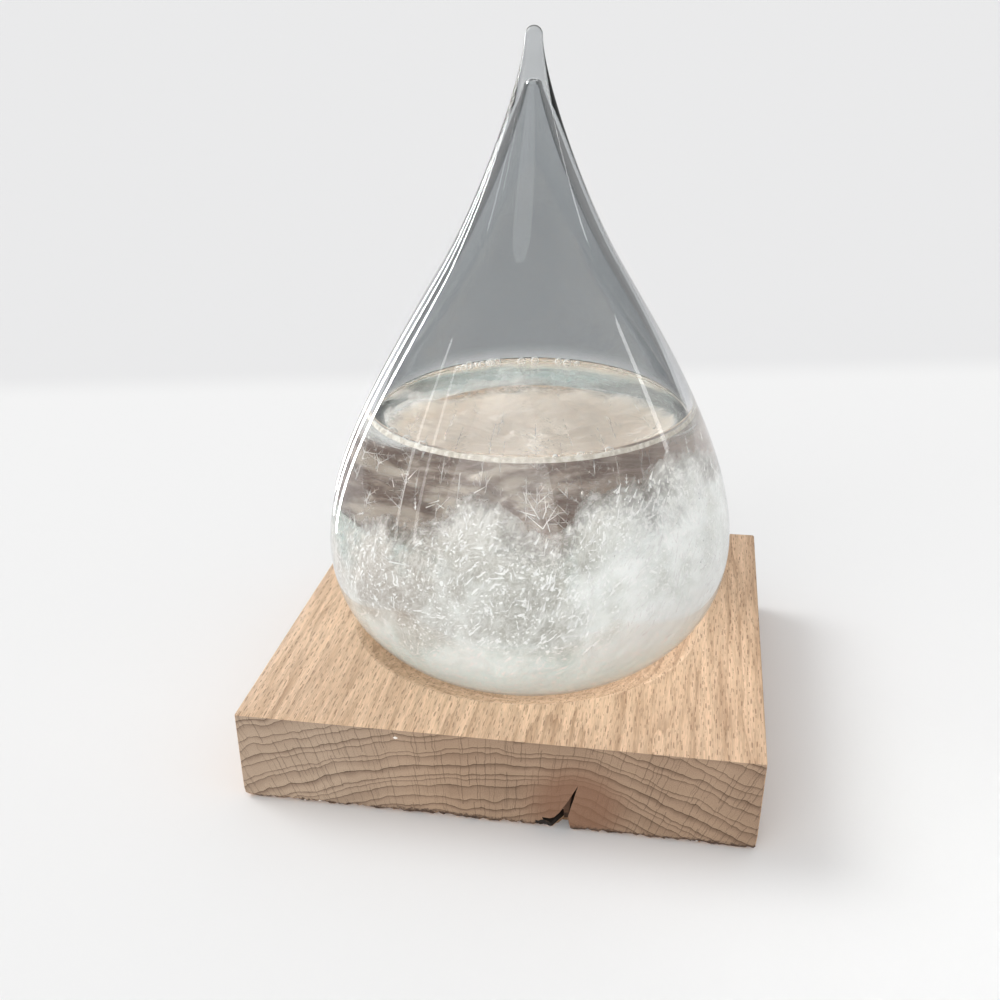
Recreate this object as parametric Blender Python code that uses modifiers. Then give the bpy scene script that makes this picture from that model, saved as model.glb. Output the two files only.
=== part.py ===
"""Storm glass on a dished beech block.

A blown glass drop holds a clear weather solution with feathered crystals that have grown up
from a settled bed. The drop stands on its small foot in a dish turned in a square block, and
lifts straight out of it.

Lengths are in metres. The origin is the middle of the block's underside, +Z is up, the
block's grain runs along Y and its cracked end grain faces -Y.
"""

import math
import random

import bmesh
import bpy
from mathutils import Matrix, Vector

MM = 0.001

# Beech block
BLOCK_SIDE = 100.0 * MM
BLOCK_HEIGHT = 19.5 * MM
BLOCK_UPRIGHT_ROUND = 0.6 * MM
BLOCK_UNDER_ROUND = 1.2 * MM
DISH_DEPTH = 7.2 * MM
DISH_FLANK_ANGLE = math.radians(24.8)

# Drying crack in the front end grain, which runs down into a knot pocket at the lower edge
CRACK_FROM_MIDDLE = 14.4 * MM
CRACK_HEIGHT = 11.3 * MM
CRACK_LEAN = 2.4 * MM
CRACK_WIDTH = 0.8 * MM
CRACK_DEPTH = 3.0 * MM
CRACK_NARROWING = 0.7
POCKET_TOP = 4.3 * MM
POCKET_LEFT_REACH = 2.2 * MM
POCKET_LEFT_HEIGHT = 2.5 * MM
POCKET_RIGHT_REACH = 1.2 * MM
POCKET_RIGHT_HEIGHT = 1.8 * MM
POCKET_END_HEIGHT = 3.6 * MM

# Glass drop, with its heights taken from its foot
DROP_HEIGHT = 121.5 * MM
FOOT_RADIUS = 20.0 * MM
FOOT_RING_WIDTH = 4.0 * MM
PUNT_RISE = 1.1 * MM
BELLY_RADIUS = 41.8 * MM
BELLY_HEIGHT = 26.2 * MM
NECK_RADIUS = 16.9 * MM
NECK_HEIGHT = 82.0 * MM
NECK_LEAN = math.radians(32.0)
TIP_RADIUS = 1.6 * MM
GLASS_WALL = 2.0 * MM
FILLING_HOLE_RADIUS = 4.0 * MM
SEAL_BEAD = 0.6 * MM

# How full each curve of the drop is, as the share of its span that its tangent handle takes
BOWL_FOOT_FULLNESS = 0.18
BOWL_SIDE_FULLNESS = 0.72
SHOULDER_SIDE_FULLNESS = 0.33
SHOULDER_NECK_FULLNESS = 0.27
SPIRE_NECK_FULLNESS = 0.37
SPIRE_TIP_FULLNESS = 0.16

# Contents, with their heights taken from the drop's foot
SOLUTION_HEIGHT = 53.4 * MM
MENISCUS_RISE = 1.8 * MM
MENISCUS_REACH = 2.2 * MM
BED_SHARE = 0.58
BED_TILT = 1.0 * MM
BED_LUMP = 0.8 * MM
BED_LUMP_SPACING = 19.0 * MM
BED_LUMP_BEARINGS = (math.radians(37.0), math.radians(-61.0))

# The bed climbs the wall to an uneven rim: bearing in degrees from the front towards the
# right, and the share of the way up from the bed to the solution's surface. It climbs late,
# with a high power of the share of the way out.
BED_RIM = (
    (-180, 0.02),
    (-120, 0.04),
    (-75, 0.22),
    (-54, 0.30),
    (-35, 0.46),
    (-8, 0.76),
    (16, 0.48),
    (28, 0.82),
    (67, 0.87),
    (98, 0.60),
    (130, 0.20),
    (180, 0.02),
)
BED_CLIMB_POWER = 8

# Feathered crystals: flat fronds in rings round the axis, from the wall inwards
FRONDS_IN_RING = (13, 9, 5)
FROND_HALF_WIDTH = 3.2 * MM
FROND_FULLEST = 0.4
FROND_THICKNESS = 0.9 * MM
FROND_BARB_PITCH = 2.3 * MM
FROND_FEWEST_BARBS = 2
FROND_BARB_FULLNESS = 0.55
FROND_BARE_STEM = 1.3 * MM
FROND_BARB_SWEEP = math.radians(29.0)
FROND_ROOT_HALF_WIDTH = 0.75 * MM
FROND_TIP_SLIMNESS = 0.6
FROND_OFF_RIM = 5.0 * MM
FROND_ROOT_DEPTH = 1.6 * MM
FROND_TOP_BELOW_SURFACE = 2.4 * MM
FROND_HEIGHT_SPREAD = 4.0 * MM
FROND_LEAN_SPREAD = math.radians(3.5)
FROND_SEED = 7

# Clearances between pieces that touch, so that no two solids share a face
SEAT_GAP = 0.3 * MM
SEAL_GAP = 0.3 * MM
CONTENTS_GAP = 0.3 * MM
BED_GAP = 0.4 * MM
POCKET_GAP = 0.45 * MM
CUTTER_REACH = 1.0 * MM

# Facets
TURNED_STEPS = 44
DISH_STEPS = 96
TIP_POINTS, SPIRE_POINTS, SHOULDER_POINTS, BOWL_POINTS = 3, 6, 8, 8
BEAD_POINTS = 4
MENISCUS_STEPS = 4
MENISCUS_STEP_REACH = 1.3 * MM
BED_RINGS = 6
BED_RING_CROWDING = 1.6
PAST_RIM = 0.7 * MM
SLOPE_STEP = 0.5 * MM

# Worked out from the sizes above
FOOT_HEIGHT = BLOCK_HEIGHT - DISH_DEPTH + SEAT_GAP
BED_FLOOR = PUNT_RISE + GLASS_WALL + CONTENTS_GAP
BED_HEIGHT = SOLUTION_HEIGHT * BED_SHARE


def clear_scene():
    for obj in list(bpy.data.objects):
        bpy.data.objects.remove(obj)


def make_collection(name):
    collection = bpy.data.collections.new(name)
    bpy.context.scene.collection.children.link(collection)
    return collection


def make_material(name, colour, roughness, metallic=0.0, transmission=0.0):
    material = bpy.data.materials.new(name)
    material.use_nodes = True
    shader = material.node_tree.nodes["Principled BSDF"]
    shader.inputs["Base Color"].default_value = (*colour, 1.0)
    shader.inputs["Roughness"].default_value = roughness
    shader.inputs["Metallic"].default_value = metallic
    shader.inputs["Transmission Weight"].default_value = transmission
    return material


def add_piece(name, data, material, collection, parent=None):
    piece = bpy.data.objects.new(name, data)
    piece.data.materials.append(material)
    piece.parent = parent
    collection.objects.link(piece)
    return piece


def add_cutter(name, data, collection, parent=None):
    cutter = bpy.data.objects.new(name, data)
    cutter.parent = parent
    cutter.hide_render = True
    cutter.display_type = "WIRE"
    collection.objects.link(cutter)
    return cutter


def cut(piece, cutter):
    boolean = piece.modifiers.new("cut " + cutter.name, "BOOLEAN")
    boolean.operation = "DIFFERENCE"
    boolean.solver = "EXACT"
    boolean.object = cutter


def mesh_from(name, shape):
    bmesh.ops.recalc_face_normals(shape, faces=shape.faces)
    mesh = bpy.data.meshes.new(name)
    shape.to_mesh(mesh)
    shape.free()
    return mesh


def profile_mesh(name, points):
    """An edge chain in the XZ plane, for a Screw modifier to turn round Z."""
    mesh = bpy.data.meshes.new(name)
    corners = [(r, 0.0, z) for r, z in points]
    edges = [(i, i + 1) for i in range(len(points) - 1)]
    mesh.from_pydata(corners, edges, [])
    return mesh


def turn(piece, steps):
    """Turns a profile that runs from the axis, down its outer side, back to the axis."""
    screw = piece.modifiers.new("turned", "SCREW")
    screw.angle = math.tau
    screw.axis = "Z"
    screw.steps = steps
    screw.render_steps = steps
    screw.use_merge_vertices = True
    screw.merge_threshold = 0.00001
    screw.use_smooth_shade = True


# ---------------------------------------------------------------- outline of the drop


def bezier(start, start_handle, end_handle, end, count):
    """count points of a cubic curve, without its last one."""
    points = []
    for i in range(count):
        t = i / count
        u = 1.0 - t
        points.append(
            start * u**3
            + start_handle * (3 * t * u * u)
            + end_handle * (3 * t * t * u)
            + end * t**3
        )
    return points


def drop_outline():
    """The glass's outside from the point of its tip down to the filling hole, as (r, z)."""
    tip = Vector((TIP_RADIUS, DROP_HEIGHT - TIP_RADIUS))
    neck = Vector((NECK_RADIUS, NECK_HEIGHT))
    belly = Vector((BELLY_RADIUS, BELLY_HEIGHT))
    foot = Vector((FOOT_RADIUS, 0.0))
    down = Vector((0.0, -1.0))
    along_neck = Vector((math.sin(NECK_LEAN), -math.cos(NECK_LEAN)))

    points = []
    for i in range(TIP_POINTS):
        a = math.pi / 2 * i / TIP_POINTS
        points.append(Vector((TIP_RADIUS * math.sin(a), tip.y + TIP_RADIUS * math.cos(a))))

    spire = tip.y - neck.y
    points += bezier(
        tip,
        tip + down * (spire * SPIRE_TIP_FULLNESS),
        neck - along_neck * (spire * SPIRE_NECK_FULLNESS),
        neck,
        SPIRE_POINTS,
    )
    shoulder = neck.y - belly.y
    points += bezier(
        neck,
        neck + along_neck * (shoulder * SHOULDER_NECK_FULLNESS),
        belly - down * (shoulder * SHOULDER_SIDE_FULLNESS),
        belly,
        SHOULDER_POINTS,
    )
    overhang = belly.x - foot.x
    points += bezier(
        belly,
        belly + down * (belly.y * BOWL_SIDE_FULLNESS),
        foot + Vector((overhang * BOWL_FOOT_FULLNESS, 0.0)),
        foot,
        BOWL_POINTS,
    )
    punt_edge = FOOT_RADIUS - FOOT_RING_WIDTH
    points += [foot, Vector((punt_edge, 0.0))]
    points.append(Vector((FILLING_HOLE_RADIUS, PUNT_RISE)))
    return points


def inside(distance):
    """The drop's outline moved into the glass by a distance, from the cavity's top down."""
    outline = drop_outline()
    moved = []
    for i, point in enumerate(outline):
        before = outline[max(i - 1, 0)]
        after = outline[min(i + 1, len(outline) - 1)]
        along = (after - before).normalized()
        inward = Vector((along.y, -along.x))
        moved.append(point + inward * distance)
    moved[-1].x = outline[-1].x
    moved = [point for point in moved if point.x > 2 * SEAL_GAP]
    top = Vector((0.0, moved[0].y + moved[0].x))
    return [top] + moved


def wall_below(height, distance):
    """The part of inside() under a height, cut off exactly there."""
    points = inside(distance)
    for i in range(len(points) - 1):
        upper, lower = points[i], points[i + 1]
        if lower.y < height:
            share = (upper.y - height) / (upper.y - lower.y)
            return [upper.lerp(lower, share)] + points[i + 1 :]
    return points


def cavity_radius(height, distance):
    return wall_below(height, distance)[0].x


# ---------------------------------------------------------------- beech block


def dish_rim_radius():
    """The dish's flank is the cone that clears the drop's bowl by the seat gap."""
    rise = math.tan(DISH_FLANK_ANGLE)
    below_top = BLOCK_HEIGHT - FOOT_HEIGHT
    reach = [p.x + (below_top - p.y) / rise for p in drop_outline() if p.y < below_top]
    return max(reach) + SEAT_GAP / math.sin(DISH_FLANK_ANGLE)


def make_block(collection, cutters):
    shape = bmesh.new()
    size = Matrix.Diagonal((BLOCK_SIDE, BLOCK_SIDE, BLOCK_HEIGHT, 1.0))
    bmesh.ops.create_cube(
        shape, size=1.0, matrix=Matrix.Translation((0, 0, BLOCK_HEIGHT / 2)) @ size
    )
    uprights = [
        edge for edge in shape.edges if edge.verts[0].co.z != edge.verts[1].co.z
    ]
    bmesh.ops.bevel(
        shape, geom=uprights, offset=BLOCK_UPRIGHT_ROUND, segments=3, profile=0.5,
        affect="EDGES",
    )
    under = [
        edge for edge in shape.edges if all(v.co.z < BLOCK_HEIGHT / 4 for v in edge.verts)
    ]
    bmesh.ops.bevel(
        shape, geom=under, offset=BLOCK_UNDER_ROUND, segments=3, profile=0.5,
        affect="EDGES",
    )
    beech = make_material("beech", (0.72, 0.52, 0.34), 0.6)
    block = add_piece("wooden_base", mesh_from("wooden_base", shape), beech, collection)

    rim = dish_rim_radius()
    floor_radius = rim - DISH_DEPTH / math.tan(DISH_FLANK_ANGLE)
    above = BLOCK_HEIGHT + DISH_DEPTH
    dish = [
        (0.0, above),
        (rim, above),
        (rim, BLOCK_HEIGHT),
        (floor_radius, BLOCK_HEIGHT - DISH_DEPTH),
        (0.0, BLOCK_HEIGHT - DISH_DEPTH),
    ]
    dish_cutter = add_cutter("dish_cutter", profile_mesh("dish_cutter", dish), cutters)
    turn(dish_cutter, DISH_STEPS)
    cut(block, dish_cutter)
    cut(block, add_cutter("crack_cutter", crack_mesh(), cutters))
    return block


def crack_mesh():
    """A wedge with the crack's outline on the front face that narrows to a line inside."""
    x = CRACK_FROM_MIDDLE
    half = CRACK_WIDTH / 2
    left = x - POCKET_LEFT_REACH
    right = x + POCKET_RIGHT_REACH
    below = -BLOCK_UNDER_ROUND
    outline = [
        (x + CRACK_LEAN, CRACK_HEIGHT),
        (x - half, POCKET_TOP),
        (left, POCKET_LEFT_HEIGHT),
        (left - half, below),
        (right + half, below),
        (right, POCKET_RIGHT_HEIGHT),
        (x + half, POCKET_TOP),
    ]
    front = -BLOCK_SIDE / 2
    middle = Vector((x, front + CRACK_DEPTH, POCKET_END_HEIGHT))
    shape = bmesh.new()
    near = []
    far = []
    for corner_x, corner_z in outline:
        corner = Vector((corner_x, front, corner_z))
        inner = corner.lerp(middle, CRACK_NARROWING)
        inner.y = middle.y
        near.append(shape.verts.new(corner.lerp(inner, -CUTTER_REACH / CRACK_DEPTH)))
        far.append(shape.verts.new(inner))
    shape.faces.new(near)
    shape.faces.new(reversed(far))
    for i in range(len(near)):
        j = (i + 1) % len(near)
        shape.faces.new((near[i], far[i], far[j], near[j]))
    return mesh_from("crack_cutter", shape)


# ---------------------------------------------------------------- glass


def make_drop(collection, parent):
    """The blown shell, open only at the filling hole in its foot."""
    glass = make_material("borosilicate_glass", (0.86, 0.89, 0.91), 0.02, 0.0, 1.0)
    outer = drop_outline()
    inner = inside(GLASS_WALL)
    profile = outer + inner[::-1]
    drop = add_piece("glass_drop", profile_mesh("glass_drop", profile), glass, collection, parent)
    turn(drop, TURNED_STEPS)
    return drop


def make_seal(collection, parent):
    """The stub of the filling tube, melted shut in the foot after filling."""
    glass = make_material("melted_glass", (0.80, 0.84, 0.86), 0.05, 0.0, 1.0)
    radius = FILLING_HOLE_RADIUS - SEAL_GAP
    profile = [(0.0, PUNT_RISE + GLASS_WALL), (radius, PUNT_RISE + GLASS_WALL)]
    for i in range(BEAD_POINTS):
        a = math.pi / 2 * i / BEAD_POINTS
        profile.append((radius * math.cos(a), PUNT_RISE - SEAL_BEAD * math.sin(a)))
    profile.append((0.0, PUNT_RISE - SEAL_BEAD))
    mesh = profile_mesh("filling_seal", profile)
    seal = add_piece("filling_seal", mesh, glass, collection, parent)
    turn(seal, TURNED_STEPS // 2)
    return seal


# ---------------------------------------------------------------- bed and solution


def rim_height(bearing):
    """How high the bed climbs the wall at a bearing, smoothly from spot to spot of its rim."""
    for (before, low), (after, high) in zip(BED_RIM, BED_RIM[1:]):
        if bearing <= after:
            turned = math.pi * (bearing - before) / (after - before)
            share = low + (high - low) * (1.0 - math.cos(turned)) / 2
            return BED_HEIGHT + (SOLUTION_HEIGHT - BED_HEIGHT) * share


def rim_radius(bearing):
    return cavity_radius(rim_height(bearing), GLASS_WALL + CONTENTS_GAP)


def bed_height(x, y):
    """How high the settled crystals lie at a place, above the drop's foot."""
    lumps = 0.0
    for toward in BED_LUMP_BEARINGS:
        along = x * math.cos(toward) + y * math.sin(toward)
        lumps += math.cos(math.tau * along / BED_LUMP_SPACING + toward)
    middle = BED_HEIGHT + BED_TILT * x / BELLY_RADIUS + BED_LUMP * lumps
    bearing = math.degrees(math.atan2(x, -y))
    out = min(math.hypot(x, y) / rim_radius(bearing), 1.0)
    return middle + (rim_height(bearing) - middle) * out**BED_CLIMB_POWER


def bed_slope(x, y):
    """How steeply the bed rises outwards at a place."""
    if not x and not y:
        return 0.0
    back = 1.0 - SLOPE_STEP / math.hypot(x, y)
    return (bed_height(x, y) - bed_height(x * back, y * back)) / SLOPE_STEP


def bed_block(name, gap, far_side):
    """A block with one face at a gap over the bed's surface and one flat face beyond it.

    The square rings of a grid become round ones that crowd towards the wall. The last but one
    lies just past the bed's rim and the last beyond the glass.
    """
    shape = bmesh.new()
    rings = BED_RINGS + 1
    bmesh.ops.create_grid(shape, x_segments=2 * rings, y_segments=2 * rings, size=rings)
    for vert in shape.verts:
        ring = round(max(abs(vert.co.x), abs(vert.co.y)))
        if ring > BED_RINGS:
            vert.co = vert.co.normalized() * (BELLY_RADIUS + CUTTER_REACH)
        elif ring:
            bearing = math.degrees(math.atan2(vert.co.x, -vert.co.y))
            share = 1.0 - (1.0 - ring / BED_RINGS) ** BED_RING_CROWDING
            vert.co = vert.co.normalized() * ((rim_radius(bearing) + PAST_RIM) * share)
        lift = gap * math.hypot(1.0, bed_slope(vert.co.x, vert.co.y))
        vert.co.z = bed_height(vert.co.x, vert.co.y) + lift
    bmesh.ops.triangulate(shape, faces=shape.faces[:], quad_method="FIXED")
    made = bmesh.ops.extrude_face_region(shape, geom=shape.faces[:])["geom"]
    for item in made:
        if isinstance(item, bmesh.types.BMVert):
            item.co.z = far_side
    return mesh_from(name, shape)


def make_bed(collection, cutters, parent, pockets):
    white = make_material("settled_crystals", (0.86, 0.87, 0.86), 0.5)
    clip = max(rim_height(bearing) for bearing, share in BED_RIM) + CUTTER_REACH
    wall = wall_below(clip, GLASS_WALL + CONTENTS_GAP)
    profile = [(0.0, clip)] + wall + [(0.0, BED_FLOOR)]
    bed = add_piece("settled_crystals", profile_mesh("bed", profile), white, collection, parent)
    turn(bed, TURNED_STEPS)
    above = bed_block("above_bed", 0.0, clip + CUTTER_REACH)
    cut(bed, add_cutter("above_bed", above, cutters, parent))
    cut(bed, pockets)
    return bed


def make_solution(collection, cutters, parent, pockets):
    """The clear liquid from the bed up to its free surface, drawn up where it wets the wall."""
    clear = make_material("weather_solution", (0.83, 0.80, 0.76), 0.0, 0.0, 1.0)
    reach = GLASS_WALL + CONTENTS_GAP
    contact = SOLUTION_HEIGHT + MENISCUS_RISE
    edge = cavity_radius(contact, reach)
    profile = [(0.0, SOLUTION_HEIGHT)]
    for i in range(MENISCUS_STEPS, 0, -1):
        back = MENISCUS_STEP_REACH * i
        rise = MENISCUS_RISE * math.exp(-back / MENISCUS_REACH)
        profile.append((edge - back, SOLUTION_HEIGHT + rise))
    profile += wall_below(contact, reach) + [(0.0, BED_FLOOR)]
    solution = add_piece(
        "weather_solution", profile_mesh("solution", profile), clear, collection, parent
    )
    turn(solution, TURNED_STEPS)
    below = bed_block("below_solution", BED_GAP, -BLOCK_HEIGHT)
    cut(solution, add_cutter("below_solution", below, cutters, parent))
    cut(solution, pockets)
    return solution


# ---------------------------------------------------------------- feathered crystals


def leaf_reach(share):
    """How far a frond reaches from its spine at a share of its length."""
    bend = math.log(0.5) / math.log(FROND_FULLEST)
    return FROND_HALF_WIDTH * math.sin(math.pi * share**bend)


def barbs(length):
    """The barbs of one side from the root up, as (foot, top of the foot, reach, tip's height)."""
    bare = FROND_ROOT_DEPTH + FROND_BARE_STEM
    count = max(round((length - bare) / FROND_BARB_PITCH) - 1, FROND_FEWEST_BARBS)
    pitch = (length - bare) / (count + 1)
    thickness = pitch * FROND_BARB_FULLNESS
    spots = []
    for i in range(count):
        foot = bare + pitch * i
        reach = leaf_reach((foot + pitch) / length)
        rise = reach * math.tan(FROND_BARB_SWEEP)
        spots.append((foot, foot + thickness, reach, foot + thickness / 2 + rise))
    return spots


def both_sides(side, top):
    """A closed outline that runs up one side, over the top and down the mirrored side."""
    return side + top + [(-x, y) for x, y in reversed(side)]


def frond_outline(length):
    """A tapered spine with a pointed barb at each pitch."""
    side = [(FROND_ROOT_HALF_WIDTH, 0.0)]
    for foot, shoulder, reach, height in barbs(length):
        spine = FROND_ROOT_HALF_WIDTH * (1.0 - FROND_TIP_SLIMNESS * foot / length)
        side += [(spine, foot), (reach, height), (spine, shoulder)]
    return both_sides(side, [(0.0, length)])


def pocket_outline(length):
    """The frond's leaf shape with a gap all round, for its pocket."""
    side = [(FROND_ROOT_HALF_WIDTH + POCKET_GAP, -POCKET_GAP)]
    for foot, shoulder, reach, height in barbs(length):
        side.append((reach + POCKET_GAP, height + POCKET_GAP / 2))
    top = length + POCKET_GAP
    return both_sides(side, [(POCKET_GAP / 2, top), (-POCKET_GAP / 2, top)])


def frond_places():
    """Each frond's frame and length: rings that follow the cavity's taper."""
    chance = random.Random(FROND_SEED)
    top = SOLUTION_HEIGHT - FROND_TOP_BELOW_SURFACE
    root_ring = min(rim_radius(bearing) for bearing, share in BED_RIM) - FROND_OFF_RIM
    top_ring = cavity_radius(top, GLASS_WALL + FROND_OFF_RIM + FROND_HALF_WIDTH)
    places = []
    for ring, count in enumerate(FRONDS_IN_RING):
        share = 1.0 - ring / len(FRONDS_IN_RING)
        for i in range(count):
            angle = math.tau * (i + 0.5 * (ring % 2)) / count
            radius = root_ring * share
            x, y = radius * math.cos(angle), radius * math.sin(angle)
            root = Vector((x, y, bed_height(x, y) - FROND_ROOT_DEPTH))
            rise = top - chance.uniform(0.0, FROND_HEIGHT_SPREAD) - root.z
            inward = math.atan2((root_ring - top_ring) * share, top - BED_HEIGHT)
            lean = inward + chance.uniform(0.0, FROND_LEAN_SPREAD)
            twist = chance.uniform(0.0, math.tau)
            frame = (
                Matrix.Translation(root)
                @ Matrix.Rotation(angle, 4, "Z")
                @ Matrix.Rotation(-lean, 4, "Y")
                @ Matrix.Rotation(twist, 4, "Z")
                @ Matrix.Rotation(math.pi / 2, 4, "X")
            )
            places.append((frame, rise / math.cos(lean)))
    return places


def frond_curve(name, length):
    curve = bpy.data.curves.new(name, "CURVE")
    curve.dimensions = "2D"
    curve.fill_mode = "BOTH"
    curve.extrude = FROND_THICKNESS / 2
    outline = frond_outline(length)
    spline = curve.splines.new("POLY")
    spline.points.add(len(outline) - 1)
    for point, (x, y) in zip(spline.points, outline):
        point.co = (x, y, 0.0, 1.0)
    spline.use_cyclic_u = True
    return curve


def pockets_mesh(places):
    """Every frond's pocket as one set of leaf-shaped prisms."""
    shape = bmesh.new()
    half = FROND_THICKNESS / 2 + CONTENTS_GAP
    for frame, length in places:
        outline = pocket_outline(length)
        rings = []
        for z in (-half, half):
            rings.append([shape.verts.new(frame @ Vector((x, y, z))) for x, y in outline])
        low, high = rings
        shape.faces.new(reversed(low))
        shape.faces.new(high)
        for i in range(len(outline)):
            j = (i + 1) % len(outline)
            shape.faces.new((low[i], low[j], high[j], high[i]))
    return mesh_from("frond_pockets", shape)


def make_fronds(collection, parent, places):
    feather = make_material("feathered_crystals", (0.93, 0.94, 0.94), 0.25)
    for number, (frame, length) in enumerate(places, 1):
        name = f"crystal_frond_{number:02d}"
        frond = add_piece(name, frond_curve(name, length), feather, collection, parent)
        frond.matrix_local = frame


# ---------------------------------------------------------------- assembly

clear_scene()
pieces = make_collection("storm_glass")
helpers = make_collection("cutters")

make_block(pieces, helpers)

drop_foot = bpy.data.objects.new("drop_foot", None)
drop_foot.location.z = FOOT_HEIGHT
pieces.objects.link(drop_foot)

frond_spots = frond_places()
frond_pockets = add_cutter("frond_pockets", pockets_mesh(frond_spots), helpers, drop_foot)
make_drop(pieces, drop_foot)
make_seal(pieces, drop_foot)
make_bed(pieces, helpers, drop_foot, frond_pockets)
make_solution(pieces, helpers, drop_foot, frond_pockets)
make_fronds(pieces, drop_foot, frond_spots)
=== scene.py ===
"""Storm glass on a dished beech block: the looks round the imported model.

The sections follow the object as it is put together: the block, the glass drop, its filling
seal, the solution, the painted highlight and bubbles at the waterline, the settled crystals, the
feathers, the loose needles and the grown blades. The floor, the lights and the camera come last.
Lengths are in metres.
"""

import math
import random

import bmesh
import bpy
from mathutils import Matrix, Vector, noise


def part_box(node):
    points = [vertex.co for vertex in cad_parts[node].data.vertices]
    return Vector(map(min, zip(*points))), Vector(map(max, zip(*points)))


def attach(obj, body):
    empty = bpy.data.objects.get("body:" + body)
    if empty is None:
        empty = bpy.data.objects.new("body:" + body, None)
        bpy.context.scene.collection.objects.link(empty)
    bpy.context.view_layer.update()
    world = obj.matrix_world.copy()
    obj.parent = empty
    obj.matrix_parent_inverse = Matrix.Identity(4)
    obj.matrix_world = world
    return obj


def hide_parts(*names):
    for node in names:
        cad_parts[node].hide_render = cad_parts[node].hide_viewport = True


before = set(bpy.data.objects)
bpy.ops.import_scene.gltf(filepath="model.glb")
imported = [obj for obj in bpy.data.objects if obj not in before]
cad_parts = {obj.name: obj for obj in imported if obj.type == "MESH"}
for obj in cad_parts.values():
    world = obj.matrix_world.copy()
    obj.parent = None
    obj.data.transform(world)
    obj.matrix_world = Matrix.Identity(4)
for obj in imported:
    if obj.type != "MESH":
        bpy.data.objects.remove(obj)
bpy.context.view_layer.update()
scene = bpy.context.scene

# ---------------------------------------------------------------- beech block
# A planed offcut of beech, 100 mm square, with its end grain to the front. A dish is turned in
# the top for the drop's foot, the upper edges are crisp and the sawn lower edge is torn. A
# drying crack opens the end grain and runs down into a pocket beside a knot.

SHARP_ANGLE = math.radians(35)
EDGE_EASING = 0.00025
UPRIGHT_ROUND = 0.0006
UNDER_ROUND = 0.0012
LEAST_ROUND = 0.0001
DISH_FLOOR_MARGIN = 0.0006
SAME_HEIGHT = 1e-5
SIDE_STATIONS = 150
SIDE_ROWS = 18
TEAR_DEPTH = 0.0006
TEAR_HEIGHT = 0.0030
TEAR_FROM = 0.95  # how far out towards the side the tearing starts, as a share
CRACK_X = 0.0144
CRACK_DEPTH = 0.0040
CRACK_OVERCUT = 0.0005
CRACK_OUTLINE = (
    (0.0026, 0.0114), (0.0010, 0.0080), (-0.0004, 0.0054), (-0.0011, 0.0042), (-0.0021, 0.0030),
    (-0.0030, 0.0026), (-0.0048, 0.0027), (-0.0046, 0.0022), (-0.0028, 0.0014), (-0.0026, -0.0012),
    (0.0016, -0.0012), (0.0011, 0.0012), (0.0007, 0.0032), (0.0011, 0.0052), (0.0018, 0.0079),
)


def add_piece(name, mesh, material, body, slot, *nodes):
    """A finished piece at the origin that rides on a body and may stand for CAD nodes."""
    piece = bpy.data.objects.new(name, mesh)
    scene.collection.objects.link(piece)
    mesh.materials.clear()
    mesh.materials.append(material)
    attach(piece, body)
    if nodes:
        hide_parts(*nodes)
    return piece


def smooth_mesh(name, shape, sharp_angle=SHARP_ANGLE):
    """A smooth-shaded mesh from a bmesh, with its faces pointing out."""
    bmesh.ops.recalc_face_normals(shape, faces=shape.faces)
    mesh = bpy.data.meshes.new(name)
    shape.to_mesh(mesh)
    shape.free()
    mesh.shade_smooth()
    mesh.set_sharp_from_angle(angle=sharp_angle)
    return mesh


def rows_joined(rings, closed=False):
    """A new bmesh with a skin from ring to ring, and back to the first if closed, and its rows."""
    shape = bmesh.new()
    rows = [[shape.verts.new(point) for point in ring] for ring in rings]
    for lower, upper in zip(rows, rows[1:] + rows[: int(closed)]):
        for i in range(len(lower)):
            j = (i + 1) % len(lower)
            shape.faces.new((lower[i], lower[j], upper[j], upper[i]))
    return shape, rows


def loft(rings, first, last):
    """A closed skin over rings of points that have as many points each, with two poles."""
    shape, rows = rows_joined(rings)
    for pole, row in ((first, rows[0]), (last, rows[-1])):
        tip = shape.verts.new(pole)
        for i in range(len(row)):
            shape.faces.new((row[i], row[(i + 1) % len(row)], tip))
    return shape


def square_reach(half, corner, angle):
    """How far a square with rounded corners reaches from its middle at an angle."""
    c, s = sorted((abs(math.cos(angle)), abs(math.sin(angle))), reverse=True)
    straight = half - corner
    reach = half / c
    if reach * s > straight:
        along = (c + s) * straight
        reach = along + math.sqrt(max(along**2 - 2 * straight**2 + corner**2, 0.0))
    return reach


_, block_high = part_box("wooden_base")
block_half = block_high.x
block_top = block_high.z
dish_spots = [vertex.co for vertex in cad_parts["wooden_base"].data.vertices]
dish_spots = [(math.hypot(p.x, p.y), p.z) for p in dish_spots if p.z > block_top / 2]
dish_spots = [(r, z) for r, z in dish_spots if r < block_half * 0.9]
dish_floor = min(z for r, z in dish_spots)
dish_floor_radius = max(r for r, z in dish_spots if z < dish_floor + SAME_HEIGHT)
dish_rim = max(r for r, z in dish_spots if z > block_top - SAME_HEIGHT)

station_angles = []
straight_half = block_half - UPRIGHT_ROUND
for quarter in range(4):
    start = math.tau * quarter / 4
    for i in range(SIDE_STATIONS + 1):
        across = (2 * i / SIDE_STATIONS - 1) * straight_half
        station_angles.append(start + math.atan2(across, block_half))
    for a in (math.pi / 6, math.pi / 3):
        corner_x = straight_half + UPRIGHT_ROUND * math.cos(a)
        corner_y = straight_half + UPRIGHT_ROUND * math.sin(a)
        station_angles.append(start + math.atan2(corner_y, corner_x))


def round_ring(radius, z):
    """A ring of the dish, with a point at the bearing of each of the outline's points."""
    return [(radius * math.cos(a), radius * math.sin(a), z) for a in station_angles]


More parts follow.
